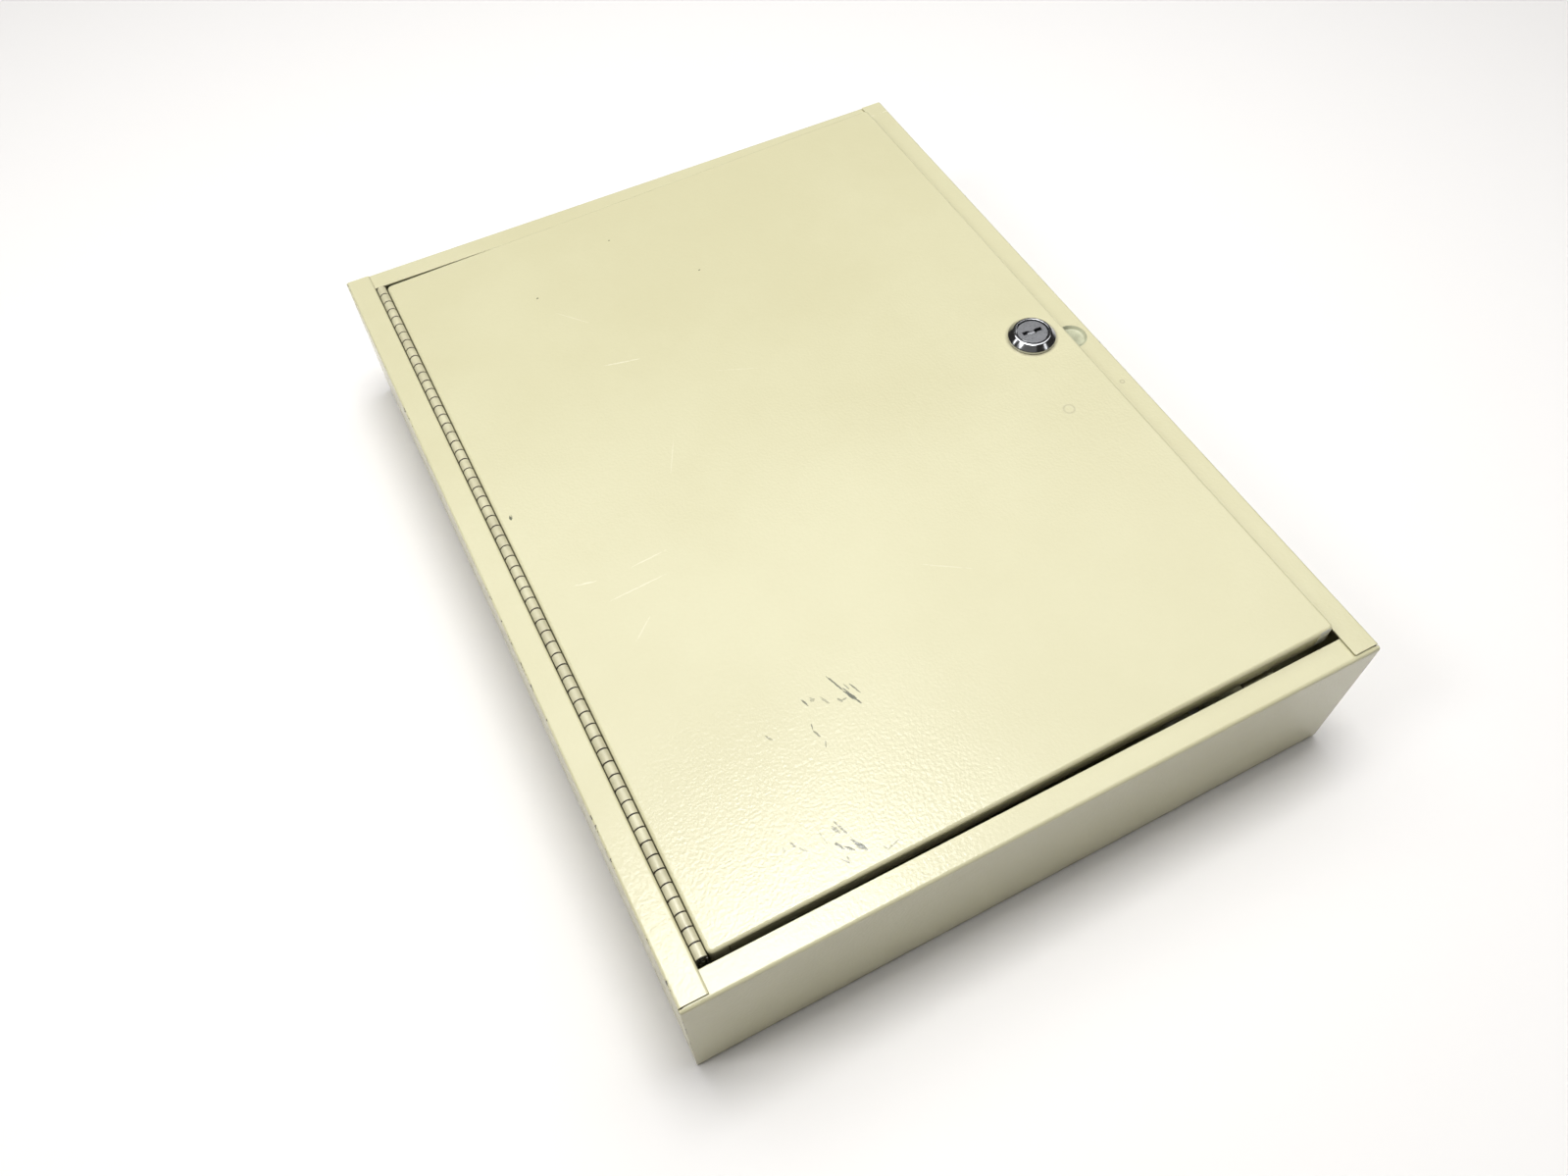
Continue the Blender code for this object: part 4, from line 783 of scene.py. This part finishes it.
def weld_patches(patches):
    """All patches as one list of points and one of faces. Points that coincide become one."""
    points, faces = [], []
    for patch_points, patch_faces in patches:
        offset = sum(map(len, points))
        points.append(patch_points)
        faces += [[corner + offset for corner in face] for face in patch_faces]
    points = np.concatenate(points)
    cells = (points / WELD).round().astype(int)
    _, keep, number = np.unique(cells, axis=0, return_index=True, return_inverse=True)
    number = number.reshape(-1)
    welded = [[int(number[corner]) for corner in face] for face in faces]
    return points[keep], [face for face in welded if len(set(face)) == len(face)]


def circle(radius, steps=LOCK_STEPS):
    """Points of a circle: (radius cos t, radius sin t)."""
    angle = np.arange(steps) * math.tau / steps
    return radius * np.stack([np.cos(angle), np.sin(angle)], -1)


def square(side):
    """The corners of a square that is centred on the axis."""
    return side / 2 * np.array([(-1.0, -1), (1, -1), (1, 1), (-1, 1)])


# %% The plug with its keyway and tail
FACE_RADIUS, PLUG_RADIUS = 7.6 * MM, 6.5 * MM
FACE_TOP, FACE_LOW = 3.8 * MM, 1.7 * MM
PLUG_END, TAIL_END, TAIL_SIDE = -13.3 * MM, -15.9 * MM, 7.6 * MM
KEYWAY_HALF, KEYWAY_WIDTH, KEYWAY_STEP = 5.0 * MM, 2.0 * MM, 0.9 * MM
KEYWAY_TILT = math.radians(-6)
KEYWAY_FLOOR = -7.0 * MM
CHAMFER = 0.15 * MM
SCREW_HOLE, SCREW_HOLE_END = 2.0 * MM, -9.6 * MM


def keyway(extra):
    """A zigzag slot: its middle line steps twice and its two walls lie half a width to each side."""
    along = (KEYWAY_HALF + extra) * np.array([-1, -0.45, -0.15, 0.15, 0.45, 1])
    middle = KEYWAY_STEP * np.array([0.5, 0.5, -0.5, -0.5, 0.5, 0.5])
    half = KEYWAY_WIDTH / 2 + extra
    lower, upper = np.stack([along, middle - half], -1), np.stack([along, middle + half], -1)
    cosine, sine = math.cos(KEYWAY_TILT), math.sin(KEYWAY_TILT)
    return np.concatenate([lower, upper[::-1]]) @ np.array([[cosine, sine], [-sine, cosine]])


face_edge = circle(FACE_RADIUS - CHAMFER)
plug_points, plug_faces = weld_patches([
    flat_patch([face_edge, keyway(CHAMFER)], FACE_TOP),
    wall_patch(keyway(CHAMFER), FACE_TOP, keyway(0), FACE_TOP - CHAMFER),
    wall_patch(keyway(0), FACE_TOP - CHAMFER, keyway(0), KEYWAY_FLOOR),
    flat_patch([keyway(0)], KEYWAY_FLOOR),
    wall_patch(face_edge, FACE_TOP, circle(FACE_RADIUS), FACE_TOP - CHAMFER),
    wall_patch(circle(FACE_RADIUS), FACE_TOP - CHAMFER, circle(FACE_RADIUS), FACE_LOW),
    flat_patch([circle(FACE_RADIUS), circle(PLUG_RADIUS)], FACE_LOW),
    wall_patch(circle(PLUG_RADIUS), FACE_LOW, circle(PLUG_RADIUS), PLUG_END),
    flat_patch([circle(PLUG_RADIUS), square(TAIL_SIDE)], PLUG_END),
    wall_patch(square(TAIL_SIDE), PLUG_END, square(TAIL_SIDE), TAIL_END),
    flat_patch([square(TAIL_SIDE), circle(SCREW_HOLE)], TAIL_END),
    wall_patch(circle(SCREW_HOLE), TAIL_END, circle(SCREW_HOLE), SCREW_HOLE_END),
    flat_patch([circle(SCREW_HOLE)], SCREW_HOLE_END),
])
plug = add_mesh("turning_plug", on_lock(plug_points), plug_faces, plug_chrome, "lock_core",
                ("lock_plug",), smooth_angle=30)
print("plug faces", len(plug.data.polygons))

# %% [markdown]
# Looking into a keyway, one sees the ends of the wafers that the key lifts. They are thin plated
# blades across the slot, one behind the other, and only the first catches the light.

# %% The wafers in the keyway
WAFER_DEPTHS = np.array([0.5, 3.1, 5.3]) * MM
WAFER_THICKNESS = 0.8 * MM
WAFER_REACH, WAFER_SHIFT = (-2.6 * MM, 1.2 * MM), 0.09 * MM


def wafer_plates():
    """One plate per depth: a box across the keyway, shorter than the slot and clear of its walls."""
    half = KEYWAY_WIDTH / 2 - SEAT / 2
    start, end = WAFER_REACH
    outline = np.array([(start, -half), (end, -half), (end, half), (start, half)]) - (0, WAFER_SHIFT)
    patches = []
    for depth in WAFER_DEPTHS:
        top, low = FACE_TOP - depth, FACE_TOP - depth - WAFER_THICKNESS
        patches += [flat_patch([outline], top), wall_patch(outline, top, outline, low)]
        patches += [flat_patch([outline], low)]
    return weld_patches(patches)


wafer_points, wafer_faces = wafer_plates()
add_mesh("keyway_wafers", on_lock(wafer_points), wafer_faces, zinc_plate, "lock_core")

# %% [markdown]
# ## Sheets with soft edges
# Sprayed sheet steel has no sharp edge anywhere: paint rounds every cut to a fraction of a
# millimetre, and that is the fine bright line that outlines each part in the photograph. The
# CAD's sheets have the right folds already. So each is copied, its loose triangles are welded, its
# flat faces are joined up, and a narrow bevel rounds what is still sharp.

# %% A softened copy of a CAD node
FLAT_ANGLE = math.radians(0.5)


def softened(node, name, body, finish, width, segments=2, angle=30):
    """A piece with a CAD node's own shape, welded, with its sharp edges rounded, that stands for the node."""
    mesh = nodes[node].data.copy()
    mesh.name = name
    bm = bmesh.new()
    bm.from_mesh(mesh)
    bmesh.ops.remove_doubles(bm, verts=bm.verts, dist=WELD)
    bmesh.ops.dissolve_limit(bm, angle_limit=FLAT_ANGLE, verts=bm.verts, edges=bm.edges)
    bm.to_mesh(mesh)
    bm.free()
    mesh.shade_smooth()
    mesh.materials.clear()
    mesh.materials.append(finish)
    piece = bpy.data.objects.new(name, mesh)
    bpy.context.scene.collection.objects.link(piece)
    soften(piece, width, segments, angle)
    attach(piece, body)
    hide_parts(node)
    return piece


# %% Body and door in soft-edged sheet
PAINTED_EDGE, PUNCHED_EDGE, PLATED_EDGE = 0.16 * MM, 0.10 * MM, 0.12 * MM
BODY_SHEETS = ("left_side", "right_side", "top_end", "bottom_end", "back_panel", "door_stop_top",
               "door_stop_bottom")
for node in BODY_SHEETS:
    softened(node, "painted_" + node, "cabinet", body_enamel, PAINTED_EDGE)
softened("door_pan", "painted_door", "door", door_enamel, PAINTED_EDGE)

# %% Hook strips, and the lock's nut, washers, cam and screw
BODY_ROWS, DOOR_ROWS = 6, 5
LOCK_FIXINGS = {"lock_washer": "door", "lock_nut": "door", "lock_cam": "lock_core", "cam_washer": "lock_core",
                "cam_screw": "lock_core"}
for prefix, body, rows in (("", "cabinet", BODY_ROWS), ("door_", "door", DOOR_ROWS)):
    for row in range(1, rows + 1):
        softened("%shook_strip_%d" % (prefix, row), "punched_%sstrip_%d" % (prefix, row), body, hook_steel,
                 PUNCHED_EDGE)
for node, body in LOCK_FIXINGS.items():
    softened(node, "plated_" + node, body, zinc_plate, PLATED_EDGE, angle=35)

# %% [markdown]
# ## The finger scoop
# Beside the lock the flange has a half-round notch, and the light in it shows that it isn't a plain
# hole: the sheet is pressed down into a shallow scoop, steep on the far side and easy on the near
# side, so that a fingertip slides under the door. As a height over a plan it is simple: the depth
# grows with the distance from the rim, over a wall whose width depends on the direction.

# %% The pressed scoop in the notch
SCOOP_CENTRE = np.array([152.4, -2.0]) * MM
SCOOP_RADIUS = 7.75 * MM
SCOOP_MOUTH = 150.8 * MM
SCOOP_TOP, SCOOP_DEPTH, SCOOP_SHEET = 83.85 * MM, 1.7 * MM, 0.4 * MM
WALL_ANGLES = np.array([-90.0, -35, 30, 90])
WALL_WIDTHS = np.array([2.9, 1.1, 0.9, 1.3]) * MM
SCOOP_ROWS, SCOOP_COLUMNS = 49, 25


def scoop_surface():
    """Heights over a half-round plan: top less depth times a smooth step of the distance from the rim."""
    turn = np.linspace(-math.pi / 2, math.pi / 2, SCOOP_ROWS)[:, None]
    share = np.linspace(0, 1, SCOOP_COLUMNS)[None, :]
    y = SCOOP_CENTRE[1] + SCOOP_RADIUS * np.sin(turn) + 0 * share
    x = SCOOP_MOUTH + (SCOOP_CENTRE[0] + SCOOP_RADIUS * np.cos(turn) - SCOOP_MOUTH) * share
    east, north = np.maximum(x - SCOOP_CENTRE[0], 0), y - SCOOP_CENTRE[1]
    width = np.interp(np.degrees(np.arctan2(north, east)), WALL_ANGLES, WALL_WIDTHS)
    step = np.clip((SCOOP_RADIUS - np.hypot(east, north)) / width, 0, 1)
    return np.stack([x, y, SCOOP_TOP - SCOOP_DEPTH * step * step * (3 - 2 * step)], -1)


def closed_sheet(top, thickness):
    """A grid of points given a thickness downwards: two grids, and a wall of quads round their edge."""
    rows, columns = top.shape[:2]
    low = top - np.array([0, 0, thickness])
    number = np.arange(rows * columns).reshape(rows, columns)
    edge = np.concatenate([number[0, :-1], number[:-1, -1], number[-1, :0:-1], number[:0:-1, 0]])
    follow = np.roll(edge, -1)
    quads = grid_quads(rows, columns, False, False)
    wall = np.stack([edge, follow, follow + rows * columns, edge + rows * columns], -1)
    points = np.concatenate([top.reshape(-1, 3), low.reshape(-1, 3)])
    return points, np.concatenate([quads, quads + rows * columns, wall])


scoop_points, scoop_faces = closed_sheet(scoop_surface(), SCOOP_SHEET)
add_mesh("finger_scoop", scoop_points, scoop_faces, scoop_shaded_enamel, "cabinet", smooth_angle=60)
print("scoop is", SCOOP_DEPTH / MM, "mm deep")

# %% [markdown]
# ## Numbers over the hooks
# Each hook has a number printed on the card above it, from 1 at the top left, and the door's hooks
# go on from the body's. The figures are Blender's own plain font, made into thin solid meshes, and
# all the figures of one card are one piece with the short lines that part them.

# %% Figures and dividing lines for one strip
HOOK_PITCH = 34.0 * MM
ROW_PITCH = 58.0 * MM
BODY_HOOKS, DOOR_HOOKS = 8, 6
BODY_CARD_FACE = 7.3 * MM
DOOR_CARD_FACE = -4.8 * MM
DOOR_STRIP_MIDDLE = 129.0 * MM
CARD_MIDDLE = 5.3 * MM
FIGURE_HEIGHT, INK_THICKNESS = 5.6 * MM, 0.03 * MM
LINE_WIDTH, LINE_HEIGHT = 0.3 * MM, 8.0 * MM


def figure_points(number):
    """Points and faces of one number, centred on the origin, in the plain font."""
    text = bpy.data.curves.new("figure", "FONT")
    text.body, text.size, text.extrude = str(number), FIGURE_HEIGHT, INK_THICKNESS / 2
    text.align_x, text.align_y, text.resolution_u = "CENTER", "CENTER", 3
    holder = bpy.data.objects.new("figure", text)
    bpy.context.scene.collection.objects.link(holder)
    solid = bpy.data.meshes.new_from_object(holder.evaluated_get(bpy.context.evaluated_depsgraph_get()))
    points = np.array([vertex.co for vertex in solid.vertices])
    faces = [list(face.vertices) for face in solid.polygons]
    bpy.data.objects.remove(holder)
    bpy.data.curves.remove(text)
    bpy.data.meshes.remove(solid)
    return points, faces


def printed_row(first, hooks):
    """The numbers of one strip over its hooks, and a line half a pitch after each but the last."""
    points, faces = [], []
    for index in range(hooks):
        along = (index - (hooks - 1) / 2) * HOOK_PITCH
        figure, figure_faces = figure_points(first + index)
        line = np.array([(x, y, z) for x in (-0.5, 0.5) for y in (-0.5, 0.5) for z in (-0.5, 0.5)])
        line = line * (LINE_WIDTH, LINE_HEIGHT, INK_THICKNESS) + (HOOK_PITCH / 2, 0, 0)
        line_faces = [(0, 1, 3, 2), (4, 6, 7, 5), (0, 4, 5, 1), (2, 3, 7, 6), (0, 2, 6, 4), (1, 5, 7, 3)]
        for part, part_faces in ((figure, figure_faces), (line, line_faces))[:1 if index == hooks - 1 else 2]:
            offset = sum(map(len, points))
            points.append(part + (along, CARD_MIDDLE, 0))
            faces += [[corner + offset for corner in face] for face in part_faces]
    return np.concatenate(points), faces


# %% Print every strip
for row in range(BODY_ROWS):
    points, faces = printed_row(row * BODY_HOOKS + 1, BODY_HOOKS)
    points += (0, ((BODY_ROWS - 1) / 2 - row) * ROW_PITCH, BODY_CARD_FACE + INK_THICKNESS)
    add_mesh("numbers_%d" % (row + 1), points, faces, number_ink, "cabinet")
for row in range(DOOR_ROWS):
    points, faces = printed_row(BODY_ROWS * BODY_HOOKS + row * DOOR_HOOKS + 1, DOOR_HOOKS)
    points = points * (-1, 1, -1)
    points += (DOOR_STRIP_MIDDLE, ((DOOR_ROWS - 1) / 2 - row) * ROW_PITCH, DOOR_CARD_FACE - INK_THICKNESS)
    add_mesh("door_numbers_%d" % (row + 1), on_door(points), faces, number_ink, "door")
print("numbers up to", BODY_ROWS * BODY_HOOKS + DOOR_ROWS * DOOR_HOOKS)
